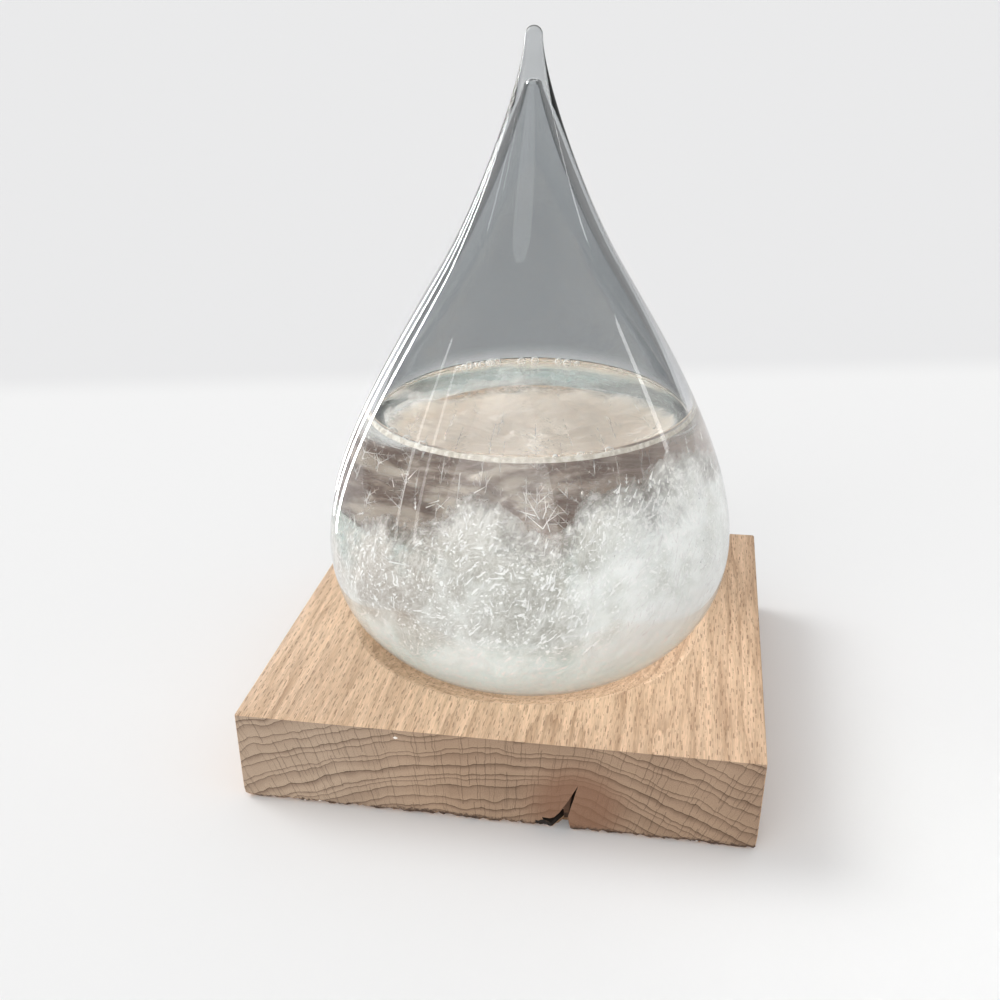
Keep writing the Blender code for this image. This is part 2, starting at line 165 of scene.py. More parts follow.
def square_ring(inset, z, share=1.0, inner=0.0):
    """A ring on the block's outline, or a share of the way out to it from an inner radius."""
    ring = []
    for a in station_angles:
        reach = square_reach(block_half - inset, max(UPRIGHT_ROUND - inset, LEAST_ROUND), a)
        r = inner + (reach - inner) * share
        ring.append((r * math.cos(a), r * math.sin(a), z))
    return ring


rim = Vector((dish_rim, block_top))
foot_of_flank = Vector((dish_floor_radius, dish_floor))
up_flank = (rim - foot_of_flank).normalized()
rings = [round_ring(dish_floor_radius * k / 4, dish_floor) for k in (1, 2, 3)]
rings.append(round_ring(dish_floor_radius - DISH_FLOOR_MARGIN, dish_floor))
for k in range(7):
    spot = foot_of_flank.lerp(rim - up_flank * EDGE_EASING, k / 6)
    rings.append(round_ring(spot.x, spot.y))
for t in (1 / 3, 2 / 3, 1.0):
    before, after = rim - up_flank * EDGE_EASING, rim + Vector((EDGE_EASING, 0))
    spot = before * (1 - t) ** 2 + rim * 2 * t * (1 - t) + after * t**2
    rings.append(round_ring(spot.x, spot.y))
for share in (0.15, 0.35, 0.6, 0.85):
    rings.append(square_ring(EDGE_EASING, block_top, share, dish_rim + EDGE_EASING))
for k in range(4):
    a = math.pi / 2 * k / 3
    inset = EDGE_EASING * (1 - math.sin(a))
    rings.append(square_ring(inset, block_top - EDGE_EASING * (1 - math.cos(a))))
for k in range(1, SIDE_ROWS + 1):
    share = (k / SIDE_ROWS) ** 0.7
    top = block_top - EDGE_EASING
    rings.append(square_ring(0.0, top + (UNDER_ROUND - top) * share))
for k in range(1, 6):
    a = math.pi / 2 * k / 5
    rings.append(square_ring(UNDER_ROUND * (1 - math.cos(a)), UNDER_ROUND * (1 - math.sin(a))))
for share in (0.97, 0.9, 0.6, 0.3):
    rings.append(square_ring(UNDER_ROUND, 0.0, share))

block_shape = loft(rings, (0, 0, dish_floor), (0, 0, 0))
for vertex in block_shape.verts:
    p = vertex.co
    outward = max(abs(p.x), abs(p.y)) / block_half
    if outward > TEAR_FROM and p.z < TEAR_HEIGHT:
        torn = 0.45 + noise.fractal(p * 900, 0.7, 2.1, 4) + 0.6 * noise.noise(p * 140)
        near_edge = (1.0 - p.z / TEAR_HEIGHT) ** 1.5 * min(1.0, (outward - TEAR_FROM) / 0.03)
        amount = TEAR_DEPTH * near_edge * max(0.0, torn)
        inward = Vector((-p.x, -p.y, 0)).normalized()
        vertex.co = p + inward * amount * 0.8 + Vector((0, 0, amount * 0.7))

crack_shape = bmesh.new()
crack_near, crack_far = [], []
for across, z in CRACK_OUTLINE:
    crack_near.append(crack_shape.verts.new((CRACK_X + across, -block_half - CRACK_OVERCUT, z)))
    deep = Vector((CRACK_X + across * 0.35 + 0.0005, CRACK_DEPTH - block_half, z * 0.7 + 0.001))
    crack_far.append(crack_shape.verts.new(deep))
crack_shape.faces.new(crack_near)
crack_shape.faces.new(crack_far)
for i in range(len(crack_near)):
    j = (i + 1) % len(crack_near)
    crack_shape.faces.new((crack_near[i], crack_near[j], crack_far[j], crack_far[i]))
crack_cutter = bpy.data.objects.new("crack_cutter", smooth_mesh("crack_cutter", crack_shape))
uncracked = bpy.data.objects.new("uncracked_block", smooth_mesh("uncracked", block_shape))
for helper in (crack_cutter, uncracked):
    scene.collection.objects.link(helper)
opening = uncracked.modifiers.new("crack", "BOOLEAN")
opening.operation = "DIFFERENCE"
opening.solver = "EXACT"
opening.object = crack_cutter
cracked = uncracked.evaluated_get(bpy.context.evaluated_depsgraph_get())
block_mesh = bpy.data.meshes.new_from_object(cracked)
block_mesh.name = "beech_block"
block_mesh.shade_smooth()
block_mesh.set_sharp_from_angle(angle=SHARP_ANGLE)
for helper in (crack_cutter, uncracked):
    bpy.data.objects.remove(helper)


def new_material(name):
    """A material, its node tree and its Principled shader."""
    material = bpy.data.materials.new(name)
    material.use_nodes = True
    return material, material.node_tree, material.node_tree.nodes["Principled BSDF"]


def feed(tree, made, inputs):
    """Gives inputs of a node their values, or links them to sockets."""
    for key, value in inputs.items():
        if isinstance(value, bpy.types.NodeSocket):
            tree.links.new(value, made.inputs[key])
        else:
            made.inputs[key].default_value = value


def node(tree, kind, inputs=None, **settings):
    """A node with its settings, each input given a value or linked to a socket."""
    made = tree.nodes.new(kind)
    for name, value in settings.items():
        setattr(made, name, value)
    feed(tree, made, inputs or {})
    return made


def vector_calc(tree, operation, a, b=None):
    """The result of a Vector Math node. SCALE takes a number as its second value."""
    inputs = {0: a}
    if b is not None:
        inputs["Scale" if operation == "SCALE" else 1] = b
    made = node(tree, "ShaderNodeVectorMath", inputs, operation=operation)
    return made.outputs["Value" if operation == "DOT_PRODUCT" else "Vector"]


def split(tree, vector):
    """The x, y and z of a vector."""
    return node(tree, "ShaderNodeSeparateXYZ", {0: vector}).outputs


def calc(tree, operation, *values, clamp=False):
    """The result of a Math node."""
    inputs = dict(enumerate(values))
    made = node(tree, "ShaderNodeMath", inputs, operation=operation, use_clamp=clamp)
    return made.outputs[0]


def ramp(tree, value, low, high, start=0.0, end=1.0):
    """A value taken from low..high to start..end, with soft ends."""
    inputs = {"Value": value, "From Min": low, "From Max": high, "To Min": start, "To Max": end}
    made = node(tree, "ShaderNodeMapRange", inputs, interpolation_type="SMOOTHSTEP")
    return made.outputs["Result"]


def mix(tree, factor, a, b, blend="MIX"):
    """Two colours mixed."""
    inputs = {0: factor, 6: a, 7: b}
    return node(tree, "ShaderNodeMix", inputs, data_type="RGBA", blend_type=blend).outputs[2]


def even_noise(tree, place, scale, detail=2.0):
    """Noise that is the same in every direction."""
    inputs = {"Vector": place, "Scale": scale, "Detail": detail}
    return node(tree, "ShaderNodeTexNoise", inputs).outputs[0]


def strayed(tree, noise_value, amount, value, clamp=False):
    """A value moved up and down by noise, by this amount from end to end."""
    centred = calc(tree, "SUBTRACT", noise_value, 0.5)
    return calc(tree, "MULTIPLY_ADD", centred, amount, value, clamp=clamp)


def stretched_noise(tree, place, stretch, scale, detail=3.0, roughness=0.55):
    """Noise that is drawn out along an axis by a small scale on it."""
    mapped = node(tree, "ShaderNodeMapping", {"Vector": place, "Scale": stretch}).outputs[0]
    inputs = {"Vector": mapped, "Scale": scale, "Detail": detail, "Roughness": roughness}
    return node(tree, "ShaderNodeTexNoise", inputs).outputs[0]


# The figure is solid, as in real wood: growth rings round a pith that lies under the block and
# runs along Y, with thin rays standing out from it, so that each face cuts them in its own way.
PITH_X, PITH_Z = 0.0015, -0.098
RING_PITCH = 0.0019
RING_SWAY = 0.0060
RING_RIPPLE = 0.0007
GRAIN_DRAWN = (1.0, 0.12, 1.0)
FIBRES_DRAWN = (1.0, 0.05, 1.0)
SWAY_SCALE, RIPPLE_SCALE, STREAK_SCALE, PORE_SCALE = 70.0, 520.0, 900.0, 5200.0
PATCH_SCALE, GRIT_SCALE = 45.0, 1500.0
RAY_SIZES = (
    # the spacing round, along and out from the pith, half the width, half the length, and how
    # dark the ray is
    ((0.0015, 0.0040, 0.0060), 0.00008, 0.0011, 1.0),
    ((0.0010, 0.0026, 0.0040), 0.00006, 0.0007, 0.7),
)
# The inside of the crack is painted black as shade: this far to both sides, from this foot to this
# top, and from this far behind the front face.
IN_CRACK_HALF = 0.0055
IN_CRACK_FOOT, IN_CRACK_TOP = 0.0006, 0.012
IN_CRACK_FRONT = 0.00012
DISH_PAINTED_SHADE = (0.880, 0.820, 0.770, 1.0)
LOW_EDGE_DARK = (0.085, 0.052, 0.036, 1.0)
CHIP_PALE = (0.850, 0.800, 0.740, 1.0)
CHIPS = (
    # where the saw has lifted pale chips from the front face, and how far each reaches
    (-0.0179, 0.0178, 0.00050), (-0.0341, 0.0008, 0.00055), (-0.0372, 0.0006, 0.00030),
    (-0.0296, 0.0005, 0.00025), (0.0029, 0.0006, 0.00030), (0.0135, 0.0022, 0.00040),
    (0.0392, 0.0007, 0.00030),
)
KNOT_X, KNOT_Z, KNOT_REACH, KNOT_PULL = 0.0165, 0.006, 0.0105, 0.0052
LONG_LIGHT = (0.790, 0.555, 0.365, 1.0)
LONG_DARK = (0.430, 0.268, 0.155, 1.0)
LONG_RAY = (0.255, 0.140, 0.075, 1.0)
LONG_RIGHT_SHADE = (0.880, 0.870, 0.880, 1.0)
END_LIGHT = (0.455, 0.340, 0.246, 1.0)
END_DARK = (0.155, 0.096, 0.062, 1.0)
END_RING = (0.070, 0.042, 0.028, 1.0)
END_WARM = (0.880, 0.810, 0.750, 1.0)
KNOT_RED = (0.215, 0.108, 0.062, 1.0)
CRACK_SHADE_BLACK = (0.020, 0.014, 0.010, 1.0)

beech, tree, shader = new_material("beech")
texture = node(tree, "ShaderNodeTexCoord")
place = texture.outputs["Object"]
x, y, z = split(tree, place)
facing_y = split(tree, texture.outputs["Normal"])[1]
end_grain = ramp(tree, calc(tree, "ABSOLUTE", facing_y), 0.55, 0.8)
sway = stretched_noise(tree, place, GRAIN_DRAWN, SWAY_SCALE)
ripple = stretched_noise(tree, place, GRAIN_DRAWN, RIPPLE_SCALE)
streaks = stretched_noise(tree, place, FIBRES_DRAWN, STREAK_SCALE, 4.0)
pores = stretched_noise(tree, place, FIBRES_DRAWN, PORE_SCALE, 2.0, 0.7)
patches = even_noise(tree, place, PATCH_SCALE)

knot_x = calc(tree, "DIVIDE", calc(tree, "SUBTRACT", x, KNOT_X), KNOT_REACH)
knot_z = calc(tree, "DIVIDE", calc(tree, "SUBTRACT", z, KNOT_Z), KNOT_REACH)
knot_far = calc(tree, "MULTIPLY_ADD", knot_x, knot_x, calc(tree, "MULTIPLY", knot_z, knot_z))
knot_near = calc(tree, "EXPONENT", calc(tree, "MULTIPLY", knot_far, -1.0))
pith_x = calc(tree, "SUBTRACT", x, PITH_X)
pith_z = calc(tree, "SUBTRACT", z, PITH_Z)
pith_far = calc(tree, "MULTIPLY_ADD", pith_x, pith_x, calc(tree, "MULTIPLY", pith_z, pith_z))
pith_far = calc(tree, "SQRT", pith_far)
bent = strayed(tree, sway, RING_SWAY, pith_far)
bent = strayed(tree, ripple, RING_RIPPLE, bent)
bent = calc(tree, "MULTIPLY_ADD", knot_near, -KNOT_PULL, bent)
years = calc(tree, "DIVIDE", bent, RING_PITCH)
uneven = node(
    tree, "ShaderNodeTexNoise", {"W": years, "Scale": 0.6, "Detail": 1.0}, noise_dimensions="1D"
)
season = calc(tree, "FRACT", calc(tree, "MULTIPLY_ADD", uneven.outputs[0], 1.3, years))
late_wood = calc(tree, "POWER", season, 3.5)
ring_line = ramp(tree, season, 0.93, 1.0)

around = calc(tree, "MULTIPLY", calc(tree, "ARCTAN2", pith_x, pith_z), -PITH_Z)
around = strayed(tree, ripple, RING_RIPPLE, around)
ray_place = node(tree, "ShaderNodeCombineXYZ", {0: around, 1: y, 2: pith_far}).outputs[0]
ray_mark = 0.0
for spacing, half_width, half_length, strength in RAY_SIZES:
    per_cell = tuple(1.0 / s for s in spacing)
    cells = vector_calc(tree, "MULTIPLY", ray_place, per_cell)
    found = node(tree, "ShaderNodeTexVoronoi", {"Vector": cells, "Scale": 1.0})
    off_x, off_y, _ = split(tree, vector_calc(tree, "SUBTRACT", cells, found.outputs["Position"]))
    across = calc(tree, "ABSOLUTE", calc(tree, "MULTIPLY", off_x, spacing[0]))
    along = calc(tree, "ABSOLUTE", calc(tree, "MULTIPLY", off_y, spacing[1]))
    taper = ramp(tree, along, half_length, half_length * 0.55, 0.0, strength)
    thin = ramp(tree, across, half_width * 1.5, half_width * 0.5)
    ray_mark = calc(tree, "MAXIMUM", calc(tree, "MULTIPLY", thin, taper), ray_mark)

shade = calc(tree, "MULTIPLY", calc(tree, "SUBTRACT", streaks, 0.39), 2.0)
shade = calc(tree, "MULTIPLY_ADD", late_wood, 0.45, shade, clamp=True)
long_colour = mix(tree, shade, LONG_LIGHT, LONG_DARK)
long_colour = mix(tree, calc(tree, "MULTIPLY", ray_mark, 0.68), long_colour, LONG_RAY)
# Painted shade: the top is darkened towards the right, where the drop shades it.
long_colour = mix(tree, ramp(tree, x, -0.020, 0.045), long_colour, LONG_RIGHT_SHADE, "MULTIPLY")
# Painted shade: the dish is darkened where the drop shades it.
dish_shade_mask = ramp(tree, z, block_top - 0.0001, block_top - 0.0010)
long_colour = mix(tree, dish_shade_mask, long_colour, DISH_PAINTED_SHADE, "MULTIPLY")
shade = calc(tree, "MULTIPLY", calc(tree, "SUBTRACT", patches, 0.35), 0.9)
shade = calc(tree, "MULTIPLY_ADD", late_wood, 0.80, shade, clamp=True)
end_colour = mix(tree, shade, END_LIGHT, END_DARK)
end_colour = mix(tree, calc(tree, "MULTIPLY", ring_line, 0.85), end_colour, END_RING)
end_colour = mix(tree, calc(tree, "MULTIPLY", ray_mark, 0.42), end_colour, END_RING)
end_colour = mix(tree, ramp(tree, x, -0.035, -0.005), end_colour, END_WARM, "MULTIPLY")
knot_mask = ramp(tree, knot_near, 0.22, 0.85, 0.0, 0.8)
end_colour = mix(tree, knot_mask, end_colour, KNOT_RED)
grit = even_noise(tree, place, GRIT_SCALE, 3.0)
# The front face is darker along its lower edge, in a ragged band that is taller to the right.
torn = strayed(tree, grit, 0.0022, z)
torn = strayed(tree, patches, 0.0016, torn)
low_edge_reach = ramp(tree, x, -0.045, -0.010, 0.0009, 0.0017)
torn = calc(tree, "DIVIDE", torn, low_edge_reach)
end_colour = mix(tree, ramp(tree, torn, 1.0, 0.45), end_colour, LOW_EDGE_DARK)
for chip_x, chip_z, reach in CHIPS:
    off_x = calc(tree, "ABSOLUTE", calc(tree, "SUBTRACT", x, chip_x))
    off_z = calc(tree, "ABSOLUTE", calc(tree, "SUBTRACT", z, chip_z))
    far_off = calc(tree, "MULTIPLY_ADD", off_z, 1.4, off_x)
    far_off = strayed(tree, grit, reach, far_off)
    chip = ramp(tree, far_off, reach, reach * 0.75)
    end_colour = mix(tree, chip, end_colour, CHIP_PALE)
wood = mix(tree, end_grain, long_colour, end_colour)
speck = ramp(tree, pores, 0.35, 0.65, 0.86, 1.09)
speck = node(tree, "ShaderNodeCombineColor", {0: speck, 1: speck, 2: speck}).outputs[0]
wood = mix(tree, 1.0, wood, speck, "MULTIPLY")

# Painted shade: the inside of the crack is made black.
from_crack = calc(tree, "ABSOLUTE", calc(tree, "SUBTRACT", x, CRACK_X))
in_crack = calc(tree, "GREATER_THAN", y, IN_CRACK_FRONT - block_half)
in_crack = calc(tree, "MULTIPLY", in_crack, calc(tree, "LESS_THAN", y, CRACK_DEPTH - block_half))
in_crack = calc(tree, "MULTIPLY", in_crack, calc(tree, "LESS_THAN", from_crack, IN_CRACK_HALF))
in_crack = calc(tree, "MULTIPLY", in_crack, calc(tree, "LESS_THAN", z, IN_CRACK_TOP))
in_crack = calc(tree, "MULTIPLY", in_crack, calc(tree, "GREATER_THAN", z, IN_CRACK_FOOT))
wood = mix(tree, in_crack, wood, CRACK_SHADE_BLACK)
relief = calc(tree, "MULTIPLY_ADD", ring_line, -0.4, calc(tree, "MULTIPLY", pores, 0.5))
relief = calc(tree, "MULTIPLY_ADD", ray_mark, -0.6, relief)
grain = node(tree, "ShaderNodeBump", {"Height": relief, "Strength": 0.35, "Distance": 0.0001})
roughness = ramp(tree, streaks, 0.3, 0.7, 0.52, 0.66)
inputs = {"Base Color": wood, "Roughness": roughness, "Normal": grain.outputs[0]}
feed(tree, shader, inputs | {"Specular IOR Level": 0.35})

add_piece("beech_block", block_mesh, beech, "base", "beech", "wooden_base")

# ---------------------------------------------------------------- glass drop
# Borosilicate glass, blown with a 2 mm wall and drawn out to a flame-sealed tip. The wall above
# the liquid is tinted grey as painted shade, darkest at the back, and its outline is painted
# darker as shade. The drop stands loose in the dish on its flat foot.

GLASS_STEPS = 180
GLASS_ROWS = 250
GLASS_WALL = 0.002
GLASS_IOR = 1.47
FOOT_RADIUS = 0.020
FOOT_RING = 0.004
PUNT_RISE = 0.0011
PUNT_ROUND = 0.006
TIP_RADIUS = 0.0016
CAVITY_TIP_RADIUS = 0.0012
BELLY_HEIGHT = 0.0262
NECK_RADIUS, NECK_HEIGHT, NECK_LEAN = 0.0169, 0.082, math.radians(32)
ABOVE_LIQUID_FADE = 0.004
BACK_SHADE_FADE = 0.015
WAVE_SCALE = 45.0
BACK_SHADE_GREY = (0.380, 0.405, 0.420, 1.0)
FRONT_SHADE_GREY = (0.850, 0.865, 0.870, 1.0)
CLEAR = (0.985, 0.990, 0.985, 1.0)
OUTLINE_SHADE_GREY = (0.300, 0.320, 0.335, 1.0)
GLASS_PASSES = (0.990, 0.995, 0.995, 1.0)

drop_low, drop_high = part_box("glass_drop")
foot_z = drop_low.z
belly_radius = drop_high.x
_, solution_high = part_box("weather_solution")


def bezier(start, start_handle, end_handle, end, count):
    """count points of a cubic curve, without its last one."""
    points = []
    for i in range(count):
        t = i / count
        u = 1.0 - t
        bend = start_handle * (3 * t * u * u) + end_handle * (3 * t * t * u)
        points.append(start * u**3 + bend + end * t**3)
    return points


def drop_outline(inset=0.0):
    """The drop's outside from its tip to the middle of its foot, as (r, z), or set in."""
    tip = Vector((TIP_RADIUS, drop_high.z - TIP_RADIUS))
    neck = Vector((NECK_RADIUS, foot_z + NECK_HEIGHT))
    belly = Vector((belly_radius, foot_z + BELLY_HEIGHT))
    foot = Vector((FOOT_RADIUS, foot_z))
    down = Vector((0.0, -1.0))
    along_neck = Vector((math.sin(NECK_LEAN), -math.cos(NECK_LEAN)))
    spire, shoulder, overhang = tip.y - neck.y, neck.y - belly.y, belly.x - foot.x
    points = []
    for i in range(8):
        a = math.pi / 2 * i / 8
        points.append(Vector((TIP_RADIUS * math.sin(a), tip.y + TIP_RADIUS * math.cos(a))))
    points += bezier(tip, tip + down * spire * 0.16, neck - along_neck * spire * 0.37, neck, 60)
    neck_handle = neck + along_neck * shoulder * 0.27
    points += bezier(neck, neck_handle, belly - down * shoulder * 0.33, belly, 60)
    foot_handle = foot + Vector((overhang * 0.18, 0.0))
    points += bezier(belly, belly + down * BELLY_HEIGHT * 0.72, foot_handle, foot, 60)
    punt_edge = Vector((FOOT_RADIUS - FOOT_RING, foot_z))
    punt = Vector((0.0, foot_z + PUNT_RISE))
    points += [foot.lerp(punt_edge, i / 6) for i in range(6)]
    points += bezier(punt_edge, punt_edge.lerp(punt, 0.3), Vector((PUNT_ROUND, punt.y)), punt, 16)
    points.append(punt)
    return set_in(points, inset) if inset else points


def set_in(points, inset):
    """The outline moved into the glass, with its top closed over by a small dome."""
    moved = []
    for i, point in enumerate(points):
        before, after = points[max(i - 1, 0)], points[min(i + 1, len(points) - 1)]
        along = (after - before).normalized()
        moved.append(point + Vector((along.y, -along.x)) * inset)
    moved[-1].x = 0.0
    moved = [p for i, p in enumerate(moved) if p.x > CAVITY_TIP_RADIUS or i == len(moved) - 1]
    dome, low = moved[0].x, moved[0].y
    top = [Vector((dome * math.sin(a), low + dome * math.cos(a))) for a in (0, 0.4, 0.8, 1.2)]
    return top + moved


def below(points, height):
    """The part of an outline under a height, cut off exactly there."""
    for i in range(len(points) - 1):
        upper, lower = points[i], points[i + 1]
        if lower.y < height:
            share = (upper.y - height) / (upper.y - lower.y)
            return [upper.lerp(lower, share)] + points[i + 1 :]
    return points


def new_geometry_tree(name, *sockets):
    """A geometry tree with named inputs, and its group input's outputs."""
    tree = bpy.data.node_groups.new(name, "GeometryNodeTree")
    tree.interface.new_socket("Geometry", in_out="INPUT", socket_type="NodeSocketGeometry")
    tree.interface.new_socket("Geometry", in_out="OUTPUT", socket_type="NodeSocketGeometry")
    for label, kind in sockets:
        tree.interface.new_socket(label, in_out="INPUT", socket_type="NodeSocket" + kind)
    return tree, tree.nodes.new("NodeGroupInput").outputs


def end_tree(tree, geometry, material):
    """Closes a geometry tree with real geometry in its material."""
    real = node(tree, "GeometryNodeRealizeInstances", {0: geometry}).outputs[0]
    made = node(tree, "GeometryNodeSetMaterial", {0: real, "Material": material}).outputs[0]
    node(tree, "NodeGroupOutput", {0: made})


def grow(name, source, tree, **values):
    """The plain mesh that a geometry tree makes from a source mesh with these inputs."""
    host = bpy.data.objects.new(name, source)
    scene.collection.objects.link(host)
    modifier = host.modifiers.new(tree.name, "NODES")
    modifier.node_group = tree
    for item in tree.interface.items_tree:
        label = item.name.lower().replace(" ", "_")
        if item.in_out == "INPUT" and label in values:
            modifier[item.identifier] = values[label]
    evaluated = host.evaluated_get(bpy.context.evaluated_depsgraph_get())
    mesh = bpy.data.meshes.new_from_object(evaluated)
    mesh.name = name
    host.modifiers.remove(modifier)
    bpy.data.objects.remove(host)
    return mesh


lathe, given = new_geometry_tree(
    "lathe", ("Steps", "Int"), ("Rows", "Int"), ("Material", "Material")
)
columns = node(
    lathe, "FunctionNodeIntegerMath", {0: given["Steps"], 1: 1}, operation="ADD"
).outputs[0]
sheet = node(
    lathe,
    "GeometryNodeMeshGrid",
    {"Size X": 1.0, "Size Y": 1.0, "Vertices X": columns, "Vertices Y": given["Rows"]},
)
spot = node(lathe, "GeometryNodeInputPosition").outputs[0]
across, along, _ = split(lathe, spot)
outline = node(lathe, "GeometryNodeMeshToCurve", {0: given["Geometry"]}).outputs[0]
sampled = node(
    lathe,
    "GeometryNodeSampleCurve",
    {"Curves": outline, "Factor": calc(lathe, "ADD", along, 0.5)},
    mode="FACTOR",
)
angle = calc(lathe, "MULTIPLY", calc(lathe, "ADD", across, 0.5), math.tau)
turned = node(
    lathe,
    "ShaderNodeVectorRotate",
    {"Vector": sampled.outputs["Position"], "Angle": angle},
    rotation_type="Z_AXIS",
).outputs[0]
skin = node(lathe, "GeometryNodeSetPosition", {0: sheet.outputs[0], "Position": turned}).outputs[0]
skin = node(lathe, "GeometryNodeMergeByDistance", {0: skin, "Distance": 1e-6}).outputs[0]
skin = node(lathe, "GeometryNodeSetShadeSmooth", {0: skin}).outputs[0]
end_tree(lathe, skin, given["Material"])


def turned_mesh(name, outline, rows, material, hollow=()):
    """A closed turned skin with its faces out, and a cavity's skin with its faces in."""
    shape = bmesh.new()
    for points, inside in ((outline, False), (hollow, True)):
        if not points:
            continue
        profile = bpy.data.meshes.new(name)
        corners = [(r, 0.0, z) for r, z in points]
        profile.from_pydata(corners, [(i, i + 1) for i in range(len(points) - 1)], [])
        skin = grow(name, profile, lathe, steps=GLASS_STEPS, rows=rows, material=material)
        before = set(shape.faces)
        shape.from_mesh(skin)
        added = [face for face in shape.faces if face not in before]
        bmesh.ops.recalc_face_normals(shape, faces=added)
        if inside:
            bmesh.ops.reverse_faces(shape, faces=added)
    mesh = bpy.data.meshes.new(name)
    shape.to_mesh(mesh)
    shape.free()
    mesh.shade_smooth()
    return mesh


def let_light_through(tree, shader, tint):
    """Lets the lamps' light pass straight through a material, tinted at each face."""
    passed = node(tree, "ShaderNodeBsdfTransparent", {0: tint})
    ray = node(tree, "ShaderNodeLightPath")
    inputs = {0: ray.outputs["Is Shadow Ray"], 1: shader.outputs[0], 2: passed.outputs[0]}
    both = node(tree, "ShaderNodeMixShader", inputs)
    tree.links.new(both.outputs[0], tree.nodes["Material Output"].inputs[0])


def clear_glass(name, ior, tint):
    """Smooth glass or liquid that lets the lamps' light pass straight through."""
    material, tree, shader = new_material(name)
    feed(tree, shader, {"Transmission Weight": 1.0, "IOR": ior, "Roughness": 0.0})
    let_light_through(tree, shader, tint)
    return material, tree, shader


blown_glass, tree, shader = clear_glass("blown_glass", GLASS_IOR, GLASS_PASSES)
place = node(tree, "ShaderNodeTexCoord").outputs["Object"]
x, y, z = split(tree, place)
waterline = solution_high.z
# Painted shade: the glass above the liquid is tinted grey, darker at the back than at the front.
above_liquid = ramp(tree, z, waterline - ABOVE_LIQUID_FADE, waterline + ABOVE_LIQUID_FADE)
toward_back = ramp(tree, y, -BACK_SHADE_FADE, BACK_SHADE_FADE)
glass_shade = mix(tree, above_liquid, CLEAR, mix(tree, toward_back, FRONT_SHADE_GREY, BACK_SHADE_GREY))
# Painted shade: where the glass is seen edge-on it is tinted darker, for a dark outline.
aslant = node(tree, "ShaderNodeLayerWeight", {"Blend": 0.5}).outputs["Facing"]
glass_shade = mix(tree, ramp(tree, aslant, 0.78, 0.97), glass_shade, OUTLINE_SHADE_GREY)
waves = even_noise(tree, place, WAVE_SCALE, 1.0)
wavy = node(tree, "ShaderNodeBump", {"Height": waves, "Strength": 0.12, "Distance": 0.0003})
feed(tree, shader, {"Base Color": glass_shade, "Normal": wavy.outputs[0]})

glass_mesh = turned_mesh(
    "blown_drop", drop_outline(), GLASS_ROWS, blown_glass, drop_outline(GLASS_WALL)
)
add_piece("blown_drop", glass_mesh, blown_glass, "drop", "glass", "glass_drop")

# ---------------------------------------------------------------- filling seal
# The hole that the drop was filled through, melted shut with a bead of the same glass. The bead
# lies in the hollow under the foot, so the drop still stands flat.

BEAD_ROUND = 0.002
BEAD_LAP = 0.0002
BEAD_ROWS = 40

seal_low, seal_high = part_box("filling_seal")
bead_edge = Vector((seal_high.x, foot_z + PUNT_RISE + BEAD_LAP))
bead_low = Vector((0.0, seal_low.z))
bead_top = Vector((0.0, foot_z + PUNT_RISE + GLASS_WALL / 2))
bead_corners = [Vector((bead_edge.x, spot.y)) for spot in (bead_top, bead_low)]
bead_rounds = [Vector((BEAD_ROUND, spot.y)) for spot in (bead_top, bead_low)]
bead = bezier(bead_top, bead_rounds[0], bead_corners[0], bead_edge, 8)
bead += bezier(bead_edge, bead_corners[1], bead_rounds[1], bead_low, 12)
seal_mesh = turned_mesh("seal_bead", bead + [bead_low], BEAD_ROWS, blown_glass)
add_piece("seal_bead", seal_mesh, blown_glass, "drop", "glass", "filling_seal")

# ---------------------------------------------------------------- weather solution
# Camphor, nitre and sal ammoniac in alcohol and water, nearly clear with a faint warm tint.
# It wets the wall, so its surface is drawn up into a bright ring where it meets the glass.

WETTING = 0.00006
MENISCUS_RISE = 0.0018
MENISCUS_FALL = 0.0011
MENISCUS_REACH = 0.0085
MENISCUS_STEPS = 24
SOLUTION_ROWS = 300
LIQUID_IOR = 1.365
LIQUID_TINT = (0.975, 0.967, 0.952, 1.0)
LIQUID_PASSES = (0.99, 0.99, 0.985, 1.0)

surface_z = solution_high.z - MENISCUS_RISE
wetted = below(drop_outline(GLASS_WALL - WETTING), solution_high.z)
edge = wetted[0].x
surface = [Vector((0.0, surface_z))]
for i in range(MENISCUS_STEPS):
    back = MENISCUS_REACH * (1.0 - i / MENISCUS_STEPS) ** 1.6
    rise = MENISCUS_RISE * math.exp(-back / MENISCUS_FALL)
    surface.append(Vector((edge - back, surface_z + rise)))

solution, tree, shader = clear_glass("weather_solution", LIQUID_IOR, LIQUID_PASSES)
feed(tree, shader, {"Base Color": LIQUID_TINT})
solution_mesh = turned_mesh("clear_solution", surface + wetted, SOLUTION_ROWS, solution)
add_piece("clear_solution", solution_mesh, solution, "drop", "solution", "weather_solution")

# ---------------------------------------------------------------- waterline highlight
# A pale band all round the waterline, widest at the front: a painted highlight for the bright line
# of the meniscus. A few bubbles cling to it, most of them at the back.

FILM_STATIONS = 360
FILM_ROWS = 10
FILM_THICKNESS = 0.00018
FILM_HEIGHTS = (0.0004, 0.0009)  # at the back, and at the front
FILM_ABOVE = 0.0003
FILM_OFF_WALL = 0.00004
FILM_RAGGEDNESS = 0.12
WALL_LAP = 0.00002
FLECK_SCALE = 900.0
HIGHLIGHT_BEIGE = (0.83, 0.77, 0.69, 1.0)
HIGHLIGHT_WHITE = (0.95, 0.92, 0.86, 1.0)
FILM_PASSES = (0.9, 0.9, 0.9, 1.0)

film_wall = drop_outline(GLASS_WALL - WALL_LAP)[::-1]


def wall_radius(height):
    """The radius of the inside of the glass at a height above the belly."""
    for lower, upper in zip(film_wall, film_wall[1:]):
        if lower.y <= height <= upper.y and lower.x > FOOT_RADIUS / 2:
            return lower.x + (upper.x - lower.x) * (height - lower.y) / (upper.y - lower.y)
    return 0.0


